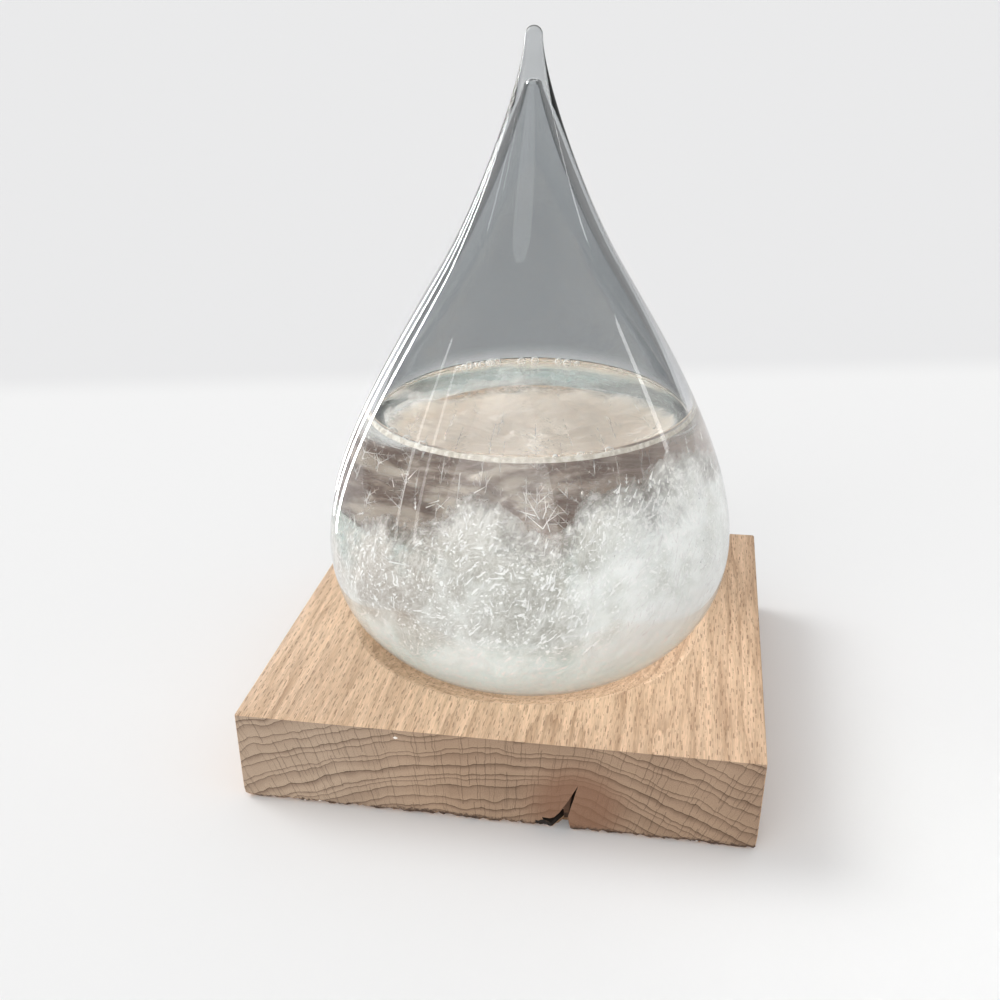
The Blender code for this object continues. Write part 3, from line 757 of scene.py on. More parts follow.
highlight_band_rings = []
for k in range(2 * FILM_ROWS):
    ring = []
    for i in range(FILM_STATIONS):
        a = math.tau * i / FILM_STATIONS
        way = Vector((math.cos(a), math.sin(a), 0.0))
        front = 0.5 - 0.5 * math.sin(a)
        tall = FILM_HEIGHTS[0] + (FILM_HEIGHTS[1] - FILM_HEIGHTS[0]) * front
        tall *= 1.0 + FILM_RAGGEDNESS * noise.fractal(way * 9, 0.7, 2.1, 4)
        turn = math.pi * (k + 0.5) / FILM_ROWS
        z = surface_z + FILM_ABOVE + tall * (0.5 - 0.5 * math.cos(turn))
        deep = FILM_THICKNESS * (0.5 - 0.5 * math.sin(turn))
        r = wall_radius(z) - FILM_OFF_WALL - deep
        ring.append(way * r + Vector((0.0, 0.0, z)))
    highlight_band_rings.append(ring)
highlight_band_mesh = smooth_mesh("waterline_film", rows_joined(highlight_band_rings, closed=True)[0])

pale_film, tree, shader = new_material("pale_film")
place = node(tree, "ShaderNodeTexCoord").outputs["Object"]
flecks = even_noise(tree, place, FLECK_SCALE, 3.0)
# Painted highlight: the band is flecked beige and white.
colour = mix(tree, ramp(tree, flecks, 0.45, 0.65), HIGHLIGHT_BEIGE, HIGHLIGHT_WHITE)
cover = ramp(tree, flecks, 0.35, 0.60, 0.62, 0.85)
feed(tree, shader, {"Base Color": colour, "Roughness": 0.3, "Alpha": cover})
let_light_through(tree, shader, FILM_PASSES)
add_piece("waterline_film", highlight_band_mesh, pale_film, "drop", "solution")

# The bubbles show as pale rings: clear skin, with a painted highlight where it turns away.
BUBBLE_RADII = (0.00060, 0.00095)
BUBBLE_OFF_WALL = 0.00003
BUBBLE_RING_HIGHLIGHT = (0.97, 0.96, 0.94, 1.0)
BUBBLE_PASSES = (0.95, 0.95, 0.95, 1.0)
BUBBLE_BEARINGS = (
    # bearing from +X towards +Y in degrees, how many bubbles, and the spread in degrees
    (120.5, 9, 10.0), (80.0, 3, 6.0), (98.0, 2, 4.0), (-62.0, 3, 16.0), (-128.0, 3, 14.0),
)

bubble_shape = bmesh.new()
chance = random.Random(5)
for middle, count, spread in BUBBLE_BEARINGS:
    for i in range(count):
        a = math.radians(middle + spread * (2.0 * (i + chance.uniform(0.2, 0.8)) / count - 1.0))
        size = chance.uniform(*BUBBLE_RADII)
        z = surface_z + FILM_HEIGHTS[0] + chance.uniform(0.3, 1.0) * size
        r = wall_radius(z) - size - BUBBLE_OFF_WALL
        spot = Matrix.Translation((r * math.cos(a), r * math.sin(a), z))
        bmesh.ops.create_uvsphere(
            bubble_shape, u_segments=24, v_segments=14, radius=size, matrix=spot
        )
bubble_mesh = smooth_mesh("waterline_bubbles", bubble_shape)
bubble_skin, tree, shader = new_material("bubble_skin")
turned = node(tree, "ShaderNodeLayerWeight", {"Blend": 0.5}).outputs["Facing"]
cover = ramp(tree, turned, 0.30, 0.50, 0.08, 1.0)
feed(tree, shader, {"Base Color": BUBBLE_RING_HIGHLIGHT, "Roughness": 0.15, "Alpha": cover})
let_light_through(tree, shader, BUBBLE_PASSES)
add_piece("waterline_bubbles", bubble_mesh, bubble_skin, "drop", "solution")

# ---------------------------------------------------------------- settled crystals
# Camphor crystals that have settled as a soft white mass. They climb the wall, highest on the
# right, and thin out into wisps at the top, while the mass sinks towards its middle.

MASS_STATIONS = 300
WALL_ROWS = 110
CAP_ROWS = 60
MASS_INSET = 0.0013
MASS_SHARE = 0.58
MASS_RIM = (
    # bearing round from the front towards the right, and the share of the way from the
    # mass's middle to the surface that it climbs there
    (-180, 0.02), (-120, 0.04), (-75, 0.22), (-54, 0.30), (-35, 0.46), (-8, 0.76),
    (16, 0.48), (28, 0.82), (67, 0.87), (98, 0.60), (130, 0.20), (180, 0.02),
)
MASS_CLIMB_POWER = 8
MASS_SHARP_ANGLE = math.radians(60)
RIM_RAGGEDNESS = 0.0014
RIM_UNDER_SURFACE = 0.0015
WALL_GRAIN, WALL_LUMPS, WALL_SINK = 0.0006, 0.0010, 0.0007
CAP_GRAIN, CAP_WAVES = 0.0006, 0.0016
CAP_SOLID = 0.06
CAP_SEAM_ROWS = 3

mass_middle = foot_z + (surface_z - foot_z) * MASS_SHARE
mass_wall = drop_outline(GLASS_WALL + MASS_INSET)[::-1]
mass_reach = [0.0]
for lower, upper in zip(mass_wall, mass_wall[1:]):
    mass_reach.append(mass_reach[-1] + (upper - lower).length)


def wall_spot(distance):
    """The (r, z) at a distance up the wall from the middle of the foot."""
    for i in range(1, len(mass_reach)):
        if mass_reach[i] >= distance:
            share = (distance - mass_reach[i - 1]) / (mass_reach[i] - mass_reach[i - 1])
            return mass_wall[i - 1].lerp(mass_wall[i], share)
    return mass_wall[-1]


def wall_distance(height):
    """How far up the wall a height lies, from the middle of the foot."""
    for i in range(1, len(mass_reach)):
        if mass_wall[i].y >= height and mass_wall[i].x > FOOT_RADIUS:
            share = (height - mass_wall[i - 1].y) / (mass_wall[i].y - mass_wall[i - 1].y)
            return mass_reach[i - 1] + share * (mass_reach[i] - mass_reach[i - 1])
    return mass_reach[-1]


def rim_height(angle):
    """How high the mass climbs up the wall at an angle round the drop."""
    bearing = (math.degrees(angle) + 270.0) % 360.0 - 180.0
    around = Vector((math.cos(angle), math.sin(angle), 0))
    for (before, low), (after, high) in zip(MASS_RIM, MASS_RIM[1:]):
        if before <= bearing <= after:
            turned = math.pi * (bearing - before) / (after - before)
            share = low + (high - low) * (1 - math.cos(turned)) / 2
            ragged = RIM_RAGGEDNESS * noise.fractal(around * 4, 0.6, 2.1, 4)
            height = mass_middle + (surface_z - mass_middle) * share + ragged
            return min(height, surface_z - RIM_UNDER_SURFACE)


stations = [math.tau * i / MASS_STATIONS for i in range(MASS_STATIONS)]
rim_heights = [rim_height(a) for a in stations]
rims = [wall_distance(height) for height in rim_heights]
mass_rings, under_rim, cap_share = [], [], []
for k in range(1, WALL_ROWS + 1):
    ring = []
    for a, rim_distance, height in zip(stations, rims, rim_heights):
        r, z = wall_spot(rim_distance * k / WALL_ROWS)
        p = Vector((r * math.cos(a), r * math.sin(a), z))
        rough = WALL_GRAIN * noise.fractal(p * 420, 0.8, 2.2, 4)
        rough += WALL_LUMPS * noise.noise(p * 110)
        inward = Vector((-p.x, -p.y, 0)).normalized()
        ring.append(p + inward * max(0.0, WALL_SINK + rough))
        under_rim.append(height - z)
        cap_share.append(0.0)
    mass_rings.append(ring)
for k in range(1, CAP_ROWS):
    ring = []
    share = 1.0 - k / CAP_ROWS
    for a, rim_distance, height in zip(stations, rims, rim_heights):
        r, top = wall_spot(rim_distance)
        p = Vector((r * share * math.cos(a), r * share * math.sin(a), 0.0))
        middle = mass_middle + CAP_WAVES * noise.noise(p * 70)
        middle += CAP_GRAIN * noise.fractal(p * 200, 0.8, 2.1, 4)
        p.z = middle + (top - middle) * share**MASS_CLIMB_POWER
        ring.append(p)
        under_rim.append(height - p.z + CAP_SOLID * (1.0 - share))
        cap_share.append(min(1.0, k / CAP_SEAM_ROWS))
    mass_rings.append(ring)
under_rim += [foot_z, foot_z]
cap_share += [0.0, 1.0]
mass_shape = loft(mass_rings, (0, 0, mass_wall[0].y), (0, 0, mass_middle))
mass_mesh = smooth_mesh("crystal_mass", mass_shape, MASS_SHARP_ANGLE)
for label, values in (("under_rim", under_rim), ("on_cap", cap_share)):
    made = mass_mesh.attributes.new(label, "FLOAT", "POINT")
    made.data.foreach_set("value", values)


# The sheen of packed feathers: short bright hatching that turns from patch to patch.
feather_hatch = bpy.data.node_groups.new("feather_hatch", "ShaderNodeTree")
for label, kind in (("Place", "Vector"), ("Patch", "Float"), ("Line", "Float")):
    feather_hatch.interface.new_socket(label, in_out="INPUT", socket_type="NodeSocket" + kind)
feather_hatch.interface.new_socket("Mask", in_out="OUTPUT", socket_type="NodeSocketFloat")
given = feather_hatch.nodes.new("NodeGroupInput").outputs
drift = node(
    feather_hatch, "ShaderNodeTexNoise", {"Vector": given["Place"], "Scale": 260.0, "Detail": 2.0}
).outputs["Color"]
drift = vector_calc(feather_hatch, "SUBTRACT", drift, (0.5, 0.5, 0.5))
drift = vector_calc(feather_hatch, "SCALE", drift, 0.008)
swayed = vector_calc(feather_hatch, "ADD", given["Place"], drift)
patch = node(feather_hatch, "ShaderNodeTexVoronoi", {"Vector": swayed, "Scale": given["Patch"]})
lean = vector_calc(feather_hatch, "SUBTRACT", patch.outputs["Color"], (0.15, 0.5, 0.15))
lean = vector_calc(feather_hatch, "NORMALIZE", lean)
reach = vector_calc(feather_hatch, "DOT_PRODUCT", given["Place"], lean)
drawn = vector_calc(feather_hatch, "SCALE", lean, calc(feather_hatch, "MULTIPLY", reach, -0.9))
hatch_place = vector_calc(feather_hatch, "ADD", given["Place"], drawn)
lines = node(
    feather_hatch,
    "ShaderNodeTexNoise",
    {"Vector": hatch_place, "Scale": given["Line"], "Detail": 3.0, "Roughness": 0.6},
).outputs[0]
node(feather_hatch, "NodeGroupOutput", {0: ramp(feather_hatch, lines, 0.42, 0.68)})


def hatching(tree, place, patch, line):
    """The mask of feather hatching with patches and lines to these scales."""
    inputs = {"Place": place, "Patch": patch, "Line": line}
    return node(tree, "ShaderNodeGroup", inputs, node_tree=feather_hatch).outputs[0]


MASS_PALE = (0.945, 0.978, 0.965, 1.0)
MASS_LOW_COOLING = (0.800, 0.990, 0.998, 1.0)
MASS_DULL = (0.440, 0.428, 0.388, 1.0)
MASS_WARM_SHADE = (0.440, 0.385, 0.340, 1.0)
MASS_BRIGHT = (0.995, 0.995, 0.990, 1.0)
CAP_BEIGE = (0.790, 0.690, 0.590, 1.0)
CAP_SHADE_BROWN = (0.145, 0.094, 0.072, 1.0)
CAP_SHADE_HAZE = (0.450, 0.385, 0.325, 1.0)
MASS_PASSES = (0.90, 0.90, 0.90, 1.0)
CLOUD_SCALE, MOTTLE_SCALE = 75.0, 210.0
# The scales of the patches and of the lines in them.
FINE_HATCH, COARSE_HATCH, GLINT_HATCH = (170.0, 2600.0), (110.0, 1100.0), (330.0, 1500.0)

crystal_mass, tree, shader = new_material("crystal_mass")
place = node(tree, "ShaderNodeTexCoord").outputs["Object"]
x, y, z = split(tree, place)
cloud = even_noise(tree, place, CLOUD_SCALE, 4.0)
mottle = even_noise(tree, place, MOTTLE_SCALE, 5.0)
fine = hatching(tree, place, *FINE_HATCH)
coarse = hatching(tree, place, *COARSE_HATCH)
hatch = calc(tree, "MAXIMUM", fine, calc(tree, "MULTIPLY", coarse, 0.8))
# Painted light: the mass is paler towards the bottom and the right, and duller higher up.
depth = ramp(tree, z, 0.022, 0.040)
depth = calc(tree, "SUBTRACT", depth, ramp(tree, x, 0.006, 0.026, 0.0, 0.80))
depth = strayed(tree, cloud, 1.8, depth)
depth = strayed(tree, mottle, 1.6, depth, clamp=True)
colour = mix(tree, depth, MASS_PALE, MASS_DULL)
# Painted light: low down the mass is tinted cool, against the warm light bounced from the wood.
colour = mix(tree, ramp(tree, z, 0.036, 0.022), colour, MASS_LOW_COOLING)
# Painted shade: on the left the mass is darker and warmer, most of all near its rim.
left = ramp(tree, x, 0.006, -0.030)
below_top = node(tree, "ShaderNodeAttribute", attribute_name="under_rim").outputs["Fac"]
near_top = strayed(tree, mottle, 0.016, below_top)
near_top = ramp(tree, near_top, 0.013, 0.003)
warm_shade = calc(tree, "MAXIMUM", calc(tree, "MULTIPLY", depth, 0.8), near_top)
colour = mix(tree, calc(tree, "MULTIPLY", warm_shade, left), colour, MASS_WARM_SHADE)
colour = mix(tree, calc(tree, "MULTIPLY", hatch, 0.45), colour, MASS_BRIGHT)
# Painted highlight: short bright strokes are painted on the mass as glints.
painted_glints = ramp(tree, hatching(tree, place, *GLINT_HATCH), 0.62, 0.82)
colour = mix(tree, painted_glints, colour, MASS_BRIGHT)
# Painted shade: seen from low, the mass's top turns brown, with paler patches to the left.
straight_up = node(tree, "ShaderNodeCombineXYZ", {2: 1.0}).outputs[0]
inputs = {"Blend": 0.5, "Normal": straight_up}
seen_flat = node(tree, "ShaderNodeLayerWeight", inputs).outputs["Facing"]
haze = calc(tree, "MULTIPLY_ADD", mottle, 0.5, calc(tree, "MULTIPLY", cloud, 0.5))
haze = calc(tree, "MULTIPLY", ramp(tree, haze, 0.46, 0.60), ramp(tree, x, 0.015, -0.010, 0.3, 0.9))
cap_shade = mix(tree, haze, CAP_SHADE_BROWN, CAP_SHADE_HAZE)
cap = mix(tree, ramp(tree, seen_flat, 0.32, 0.55), CAP_BEIGE, cap_shade)
cap = mix(tree, calc(tree, "MULTIPLY", coarse, 0.15), cap, MASS_DULL)
on_cap = node(tree, "ShaderNodeAttribute", attribute_name="on_cap").outputs["Fac"]
colour = mix(tree, on_cap, colour, cap)
ragged = strayed(tree, coarse, 0.003, below_top)
ragged = strayed(tree, cloud, 0.022, ragged)
ragged = strayed(tree, mottle, 0.010, ragged)
height = calc(tree, "MULTIPLY", hatch, calc(tree, "SUBTRACT", 1.0, on_cap))
frost = node(tree, "ShaderNodeBump", {"Height": height, "Strength": 0.3, "Distance": 0.0003})
inputs = {
    "Base Color": colour, "Roughness": ramp(tree, hatch, 0.2, 0.8, 0.6, 0.35),
    "Alpha": ramp(tree, ragged, -0.001, 0.0105), "Normal": frost.outputs[0],
    "Subsurface Weight": 0.8, "Subsurface Radius": (0.96, 0.98, 1.0), "Subsurface Scale": 0.02,
}
feed(tree, shader, inputs)
let_light_through(tree, shader, MASS_PASSES)
add_piece("crystal_mass", mass_mesh, crystal_mass, "drop", "settled_crystals", "settled_crystals")

# ---------------------------------------------------------------- feathered crystals
# Camphor plumes that have grown up from the mass to just under the surface. Each has a spine
# with swept barbs on both sides, and every barb carries finer barbs of its own.

PLUME_PITCH = 0.0016
PLUME_HALF_WIDTH = 0.0042
BARB_SWEEP = math.radians(42)
BARBS_KEPT = 0.72
BARB_PAIRS, BARB_THICKNESS = 3, 0.026
FROND_END = 0.0004
SPINE_THICKNESS = 0.00009
CRYSTAL_GRAIN, WISP_GRAIN = 900.0, 300.0
CRYSTAL_PASSES = (0.95, 0.95, 0.95, 1.0)
CRYSTAL_GREY = (0.93, 0.93, 0.92, 1.0)
CRYSTAL_CLEAN = (0.99, 0.99, 0.985, 1.0)
WISP_WHITE = (0.95, 0.94, 0.925, 1.0)
CRYSTAL_BODY = {
    "Subsurface Weight": 1.0, "Subsurface Radius": (1.0, 1.0, 1.0),
    "Subsurface Scale": 0.0002, "IOR": 1.55,
}


def lit_face(tree, place):
    """The mask of faces turned outwards or up. The others are as clear as the liquid."""
    outward = vector_calc(tree, "MULTIPLY", place, (1.0, 1.0, 0.0))
    outward = vector_calc(tree, "ADD", vector_calc(tree, "NORMALIZE", outward), (0.0, 0.0, 0.6))
    normal = node(tree, "ShaderNodeTexCoord").outputs["Normal"]
    return ramp(tree, vector_calc(tree, "DOT_PRODUCT", normal, outward), 0.10, 0.50)


crystal_white, tree, shader = new_material("crystal_white")
place = node(tree, "ShaderNodeTexCoord").outputs["Object"]
grainy = even_noise(tree, place, CRYSTAL_GRAIN)
grain = ramp(tree, grainy, 0.3, 0.7)
colour = mix(tree, grain, CRYSTAL_GREY, CRYSTAL_CLEAN)
roughness = ramp(tree, grainy, 0.3, 0.7, 0.12, 0.3)
inputs = {"Base Color": colour, "Roughness": roughness, "Alpha": lit_face(tree, place)}
feed(tree, shader, inputs | {"Metallic": 0.1, "Coat Weight": 1.0, "Coat Roughness": 0.05})
feed(tree, shader, CRYSTAL_BODY)
let_light_through(tree, shader, CRYSTAL_PASSES)

crystal_wisp, tree, shader = new_material("crystal_wisp")
place = node(tree, "ShaderNodeTexCoord").outputs["Object"]
grainy = even_noise(tree, place, WISP_GRAIN, 3.0)
wispy = calc(tree, "MULTIPLY", ramp(tree, grainy, 0.38, 0.70, 0.02, 0.45), lit_face(tree, place))
feed(tree, shader, {"Base Color": WISP_WHITE, "Roughness": 0.4, "Alpha": wispy})
feed(tree, shader, CRYSTAL_BODY)
let_light_through(tree, shader, CRYSTAL_PASSES)


def random_value(tree, low, high, seed):
    """A random number for each point between two values."""
    inputs = {2: low, 3: high, "Seed": seed}
    return node(tree, "FunctionNodeRandomValue", inputs, data_type="FLOAT").outputs[1]


def join(tree, parts):
    """Several geometries as one."""
    joined = tree.nodes.new("GeometryNodeJoinGeometry")
    for part in parts:
        tree.links.new(part, joined.inputs[0])
    return joined.outputs[0]


def set_along(tree, direction, side):
    """The rotation that turns Z along a direction, with Y near a side."""
    inputs = {0: direction, 1: side}
    axes = {"primary_axis": "Z", "secondary_axis": "Y"}
    return node(tree, "FunctionNodeAxesToRotation", inputs, **axes).outputs[0]


feather, given = new_geometry_tree(
    "feather", ("Pairs", "Int"), ("Sweep", "Float"), ("Thickness", "Float"), ("Seed", "Int")
)
spike = node(
    feather,
    "GeometryNodeMeshCone",
    {"Vertices": 3, "Radius Top": 0.0, "Radius Bottom": 1.0, "Depth": 1.0},
).outputs["Mesh"]
flat = calc(feather, "MULTIPLY", given["Thickness"], 0.5)
spine_size = node(feather, "ShaderNodeCombineXYZ", {0: given["Thickness"], 1: flat, 2: 1.0})
inputs = {0: spike, "Scale": spine_size.outputs[0]}
parts = [node(feather, "GeometryNodeTransform", inputs).outputs[0]]
roots = node(
    feather,
    "GeometryNodeMeshLine",
    {"Count": given["Pairs"], "Start Location": (0, 0, 0.1), "Offset": (0, 0, 0.85)},
    mode="END_POINTS",
).outputs[0]
spot = node(feather, "GeometryNodeInputPosition").outputs[0]
root_height = split(feather, spot)[2]
for side in (1, -1):
    varied = random_value(feather, 0.75, 1.15, calc(feather, "ADD", given["Seed"], side))
    length = calc(feather, "MULTIPLY_ADD", root_height, -0.30, 0.36)
    length = calc(feather, "MULTIPLY", length, varied)
    inputs = {0: calc(feather, "MULTIPLY", flat, 1.6), 1: flat, 2: length}
    size = node(feather, "ShaderNodeCombineXYZ", inputs).outputs[0]
    tilt = calc(feather, "SUBTRACT", math.pi / 2, given["Sweep"])
    tilt = calc(feather, "MULTIPLY", tilt, float(side))
    turn = node(feather, "ShaderNodeCombineXYZ", {1: tilt}).outputs[0]
    inputs = {"Points": roots, "Instance": spike, "Rotation": turn, "Scale": size}
    parts.append(node(feather, "GeometryNodeInstanceOnPoints", inputs).outputs[0])
real = node(feather, "GeometryNodeRealizeInstances", {0: join(feather, parts)}).outputs[0]
node(feather, "NodeGroupOutput", {0: real})

plume, given = new_geometry_tree(
    "plume", ("Pitch", "Float"), ("Reach", "Float"), ("Sweep", "Float"), ("Thickness", "Float"),
    ("Seed", "Int"), ("Material", "Material"),
)
spines = node(plume, "GeometryNodeMeshToCurve", {0: given["Geometry"]}).outputs[0]
steps = node(
    plume, "GeometryNodeResampleCurve", {0: spines, "Length": given["Pitch"]}, mode="LENGTH"
).outputs[0]
share = node(plume, "GeometryNodeSplineParameter").outputs["Factor"]
tangent = node(plume, "GeometryNodeInputTangent").outputs[0]
blade = node(
    plume, "GeometryNodeInputNamedAttribute", {"Name": "blade"}, data_type="FLOAT_VECTOR"
).outputs[0]
flat_side = vector_calc(plume, "CROSS_PRODUCT", tangent, blade)
fullness = calc(plume, "MULTIPLY", calc(plume, "POWER", share, 0.75), math.pi)
fullness = calc(plume, "SINE", fullness)
parts = []
for side in (1, -1):
    inputs = {"Pairs": BARB_PAIRS, "Thickness": BARB_THICKNESS}
    inputs |= {key: given[key] for key in ("Sweep", "Seed")}
    barb = node(plume, "GeometryNodeGroup", inputs, node_tree=feather).outputs[0]
    own_seed = calc(plume, "ADD", given["Seed"], side * 3)
    kept_seed, sweep_seed, aside_seed = (calc(plume, "ADD", own_seed, n) for n in (20, 40, 60))
    varied = random_value(plume, 0.45, 1.25, own_seed)
    kept = calc(plume, "LESS_THAN", random_value(plume, 0.0, 1.0, kept_seed), BARBS_KEPT)
    sweep = calc(plume, "ADD", given["Sweep"], random_value(plume, -0.3, 0.3, sweep_seed))
    up = vector_calc(plume, "SCALE", tangent, calc(plume, "SINE", sweep))
    outward = calc(plume, "MULTIPLY", calc(plume, "COSINE", sweep), float(side))
    out = vector_calc(plume, "SCALE", blade, outward)
    aside = vector_calc(plume, "SCALE", flat_side, random_value(plume, -0.35, 0.35, aside_seed))
    direction = vector_calc(plume, "ADD", vector_calc(plume, "ADD", up, out), aside)
    turn = set_along(plume, direction, flat_side)
    length = calc(plume, "MULTIPLY", calc(plume, "MULTIPLY", fullness, given["Reach"]), varied)
    length = calc(plume, "DIVIDE", length, calc(plume, "COSINE", given["Sweep"]))
    inputs = {
        "Points": steps, "Selection": kept, "Instance": barb, "Rotation": turn, "Scale": length,
    }
    parts.append(node(plume, "GeometryNodeInstanceOnPoints", inputs).outputs[0])
rod = node(
    plume,
    "GeometryNodeCurvePrimitiveCircle",
    {"Resolution": 4, "Radius": given["Thickness"]},
    mode="RADIUS",
).outputs[0]
inputs = {"Curve": spines, "Profile Curve": rod, "Fill Caps": True}
parts.append(node(plume, "GeometryNodeCurveToMesh", inputs).outputs[0])
end_tree(plume, join(plume, parts), given["Material"])

fronds = sorted(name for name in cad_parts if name.startswith("crystal_frond"))
spine_ends, blades = [], []
for name in fronds:
    spots = [vertex.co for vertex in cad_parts[name].data.vertices]
    low, high = min(p.z for p in spots), max(p.z for p in spots)
    root = [p for p in spots if p.z < low + FROND_END]
    tip = [p for p in spots if p.z > high - FROND_END]
    root = sum(root, Vector()) / len(root)
    tip = sum(tip, Vector()) / len(tip)
    along = (tip - root).normalized()
    widest = max(spots, key=lambda p: (p - root - along * (p - root).dot(along)).length)
    out = widest - root - along * (widest - root).dot(along)
    spine_ends += [root, tip]
    blades += [out.normalized()] * 2
spine_lines = bpy.data.meshes.new("plumes")
spine_lines.from_pydata(spine_ends, [(2 * i, 2 * i + 1) for i in range(len(fronds))], [])
blade_sides = spine_lines.attributes.new("blade", "FLOAT_VECTOR", "POINT")
for item, value in zip(blade_sides.data, blades):
    item.vector = value
plume_mesh = grow(
    "feathered_crystals", spine_lines, plume, pitch=PLUME_PITCH, reach=PLUME_HALF_WIDTH,
    sweep=BARB_SWEEP, thickness=SPINE_THICKNESS, seed=4, material=crystal_wisp,
)
add_piece("feathered_crystals", plume_mesh, crystal_wisp, "drop", "feathered_crystals", *fronds)

# ---------------------------------------------------------------- loose needles
# Short needles and small feathers that lie against the wall and on the mass like shredded
# frost. They lean alike within a patch, and on the right they are densest and lean one way.

STREW_OUT = 0.0007
STREW_UNDER_SURFACE = 0.002
STREW_SWEEP = math.radians(40)
STREW_ROWS, STREW_FIRST_ROW = 40, 8
CLUMP_SCALE, DRIFT_SCALE = 130.0, 95.0

scatter, given = new_geometry_tree(
    "scatter", ("Density", "Float"), ("On Left", "Float"), ("Depth", "Float"),
    ("Shortest", "Float"), ("Longest", "Float"), ("Pairs", "Int"), ("Thickness", "Float"),
    ("Seed", "Int"), ("Material", "Material"),
)
spot = node(scatter, "GeometryNodeInputPosition").outputs[0]
spot_x, _, spot_z = split(scatter, spot)
clumps = even_noise(scatter, spot, CLUMP_SCALE)
thick = ramp(scatter, clumps, 0.40, 0.60, 0.10, 1.0)
inputs = {"Value": spot_x, "From Min": -0.012, "From Max": 0.032, "To Min": given["On Left"]}
to_right = node(scatter, "ShaderNodeMapRange", inputs, interpolation_type="SMOOTHSTEP").outputs[0]
thick = calc(scatter, "MULTIPLY", thick, to_right)
thick = calc(scatter, "MULTIPLY", thick, ramp(scatter, spot_z, 0.027, 0.042, 0.0, 1.0))
thick = calc(scatter, "MULTIPLY", thick, given["Density"])
inputs = {"Mesh": given["Geometry"], "Density": thick, "Seed": given["Seed"]}
points = node(scatter, "GeometryNodeDistributePointsOnFaces", inputs)
normal = points.outputs["Normal"]
deep = calc(scatter, "POWER", random_value(scatter, 0.0, 1.0, 11), 1.6)
deep = calc(scatter, "MULTIPLY", calc(scatter, "MULTIPLY", deep, given["Depth"]), -1.0)
offset = vector_calc(scatter, "SCALE", normal, deep)
level = vector_calc(scatter, "CROSS_PRODUCT", normal, (0, 0, 1))
level = vector_calc(scatter, "NORMALIZE", level)
upward = vector_calc(scatter, "CROSS_PRODUCT", level, normal)
# Each needle's lean comes from a slow drift from place to place, a turn of its own and a lean
# that all of them share on the right.
drift = even_noise(scatter, spot, DRIFT_SCALE, 1.0)
drift = calc(scatter, "SUBTRACT", drift, 0.5)
swing = ramp(scatter, spot_x, -0.016, 0.016, 7.0, 2.2)
loose = ramp(scatter, spot_x, -0.020, 0.012, 1.5, 0.40)
own = calc(scatter, "MULTIPLY", random_value(scatter, -1.0, 1.0, 12), loose)
lean = calc(scatter, "MULTIPLY_ADD", drift, swing, own)
lean = calc(scatter, "ADD", lean, ramp(scatter, spot_x, -0.030, 0.008, 0.3, 2.30))
sideways = vector_calc(scatter, "SCALE", level, calc(scatter, "COSINE", lean))
rising = vector_calc(scatter, "SCALE", upward, calc(scatter, "SINE", lean))
direction = vector_calc(scatter, "ADD", sideways, rising)
dip = vector_calc(scatter, "SCALE", normal, random_value(scatter, -0.4, 0.05, 13))
direction = vector_calc(scatter, "ADD", direction, dip)
turn = set_along(scatter, direction, normal)
length = random_value(scatter, given["Shortest"], given["Longest"], 14)
inputs = {key: given[key] for key in ("Pairs", "Thickness", "Seed")} | {"Sweep": STREW_SWEEP}
needle = node(scatter, "GeometryNodeGroup", inputs, node_tree=feather).outputs[0]
inputs = {0: points.outputs["Points"], "Offset": offset}
placed = node(scatter, "GeometryNodeSetPosition", inputs).outputs[0]
inputs = {"Points": placed, "Instance": needle, "Rotation": turn, "Scale": length}
strewn = node(scatter, "GeometryNodeInstanceOnPoints", inputs).outputs[0]
end_tree(scatter, strewn, given["Material"])


def strew_base(name, above_rim):
    """An open sheet just inside the wall, from the bowl to a height above the mass's rim."""
    rings = []
    limit = surface_z - STREW_UNDER_SURFACE
    tops = [wall_distance(min(height + above_rim, limit)) for height in rim_heights]
    for k in range(STREW_FIRST_ROW, STREW_ROWS + 1):
        ring = []
        for a, top in zip(stations, tops):
            r, z = wall_spot(top * k / STREW_ROWS)
            r += STREW_OUT
            ring.append((r * math.cos(a), r * math.sin(a), z))
        rings.append(ring)
    shape, _ = rows_joined(rings)
    mesh = bpy.data.meshes.new(name)
    shape.to_mesh(mesh)
    shape.free()
    return mesh


STREWN = {
    # how far above the mass's rim each kind reaches, and its inputs of the scatter tree
    "crystal_needles": (-0.004, {
        "density": 260000.0, "on_left": 0.22, "depth": 0.0003, "shortest": 0.0010,
        "longest": 0.0026, "pairs": 0, "thickness": 0.09, "seed": 21,
    }),
    "crystal_glints": (-0.001, {
        "density": 420000.0, "on_left": 0.12, "depth": 0.0006, "shortest": 0.0007,
        "longest": 0.0021, "pairs": 0, "thickness": 0.17, "seed": 23,
    }),
    "crystal_flakes": (0.003, {
        "density": 80000.0, "on_left": 0.35, "depth": 0.0030, "shortest": 0.0012,
        "longest": 0.0028, "pairs": 3, "thickness": 0.07, "seed": 22,
    }),
}

for name, (above_rim, values) in STREWN.items():
    base = strew_base(name + "_base", above_rim)
    strewn_mesh = grow(name, base, scatter, material=crystal_white, **values)
    add_piece(name, strewn_mesh, crystal_white, "drop", "feathered_crystals")

# ---------------------------------------------------------------- grown blades
# A few larger blades that stand out in the mass: a ragged fan at the front, short strokes to
# the left of it, and slender plates that have grown level or steep. Each lies just inside the
# wall.

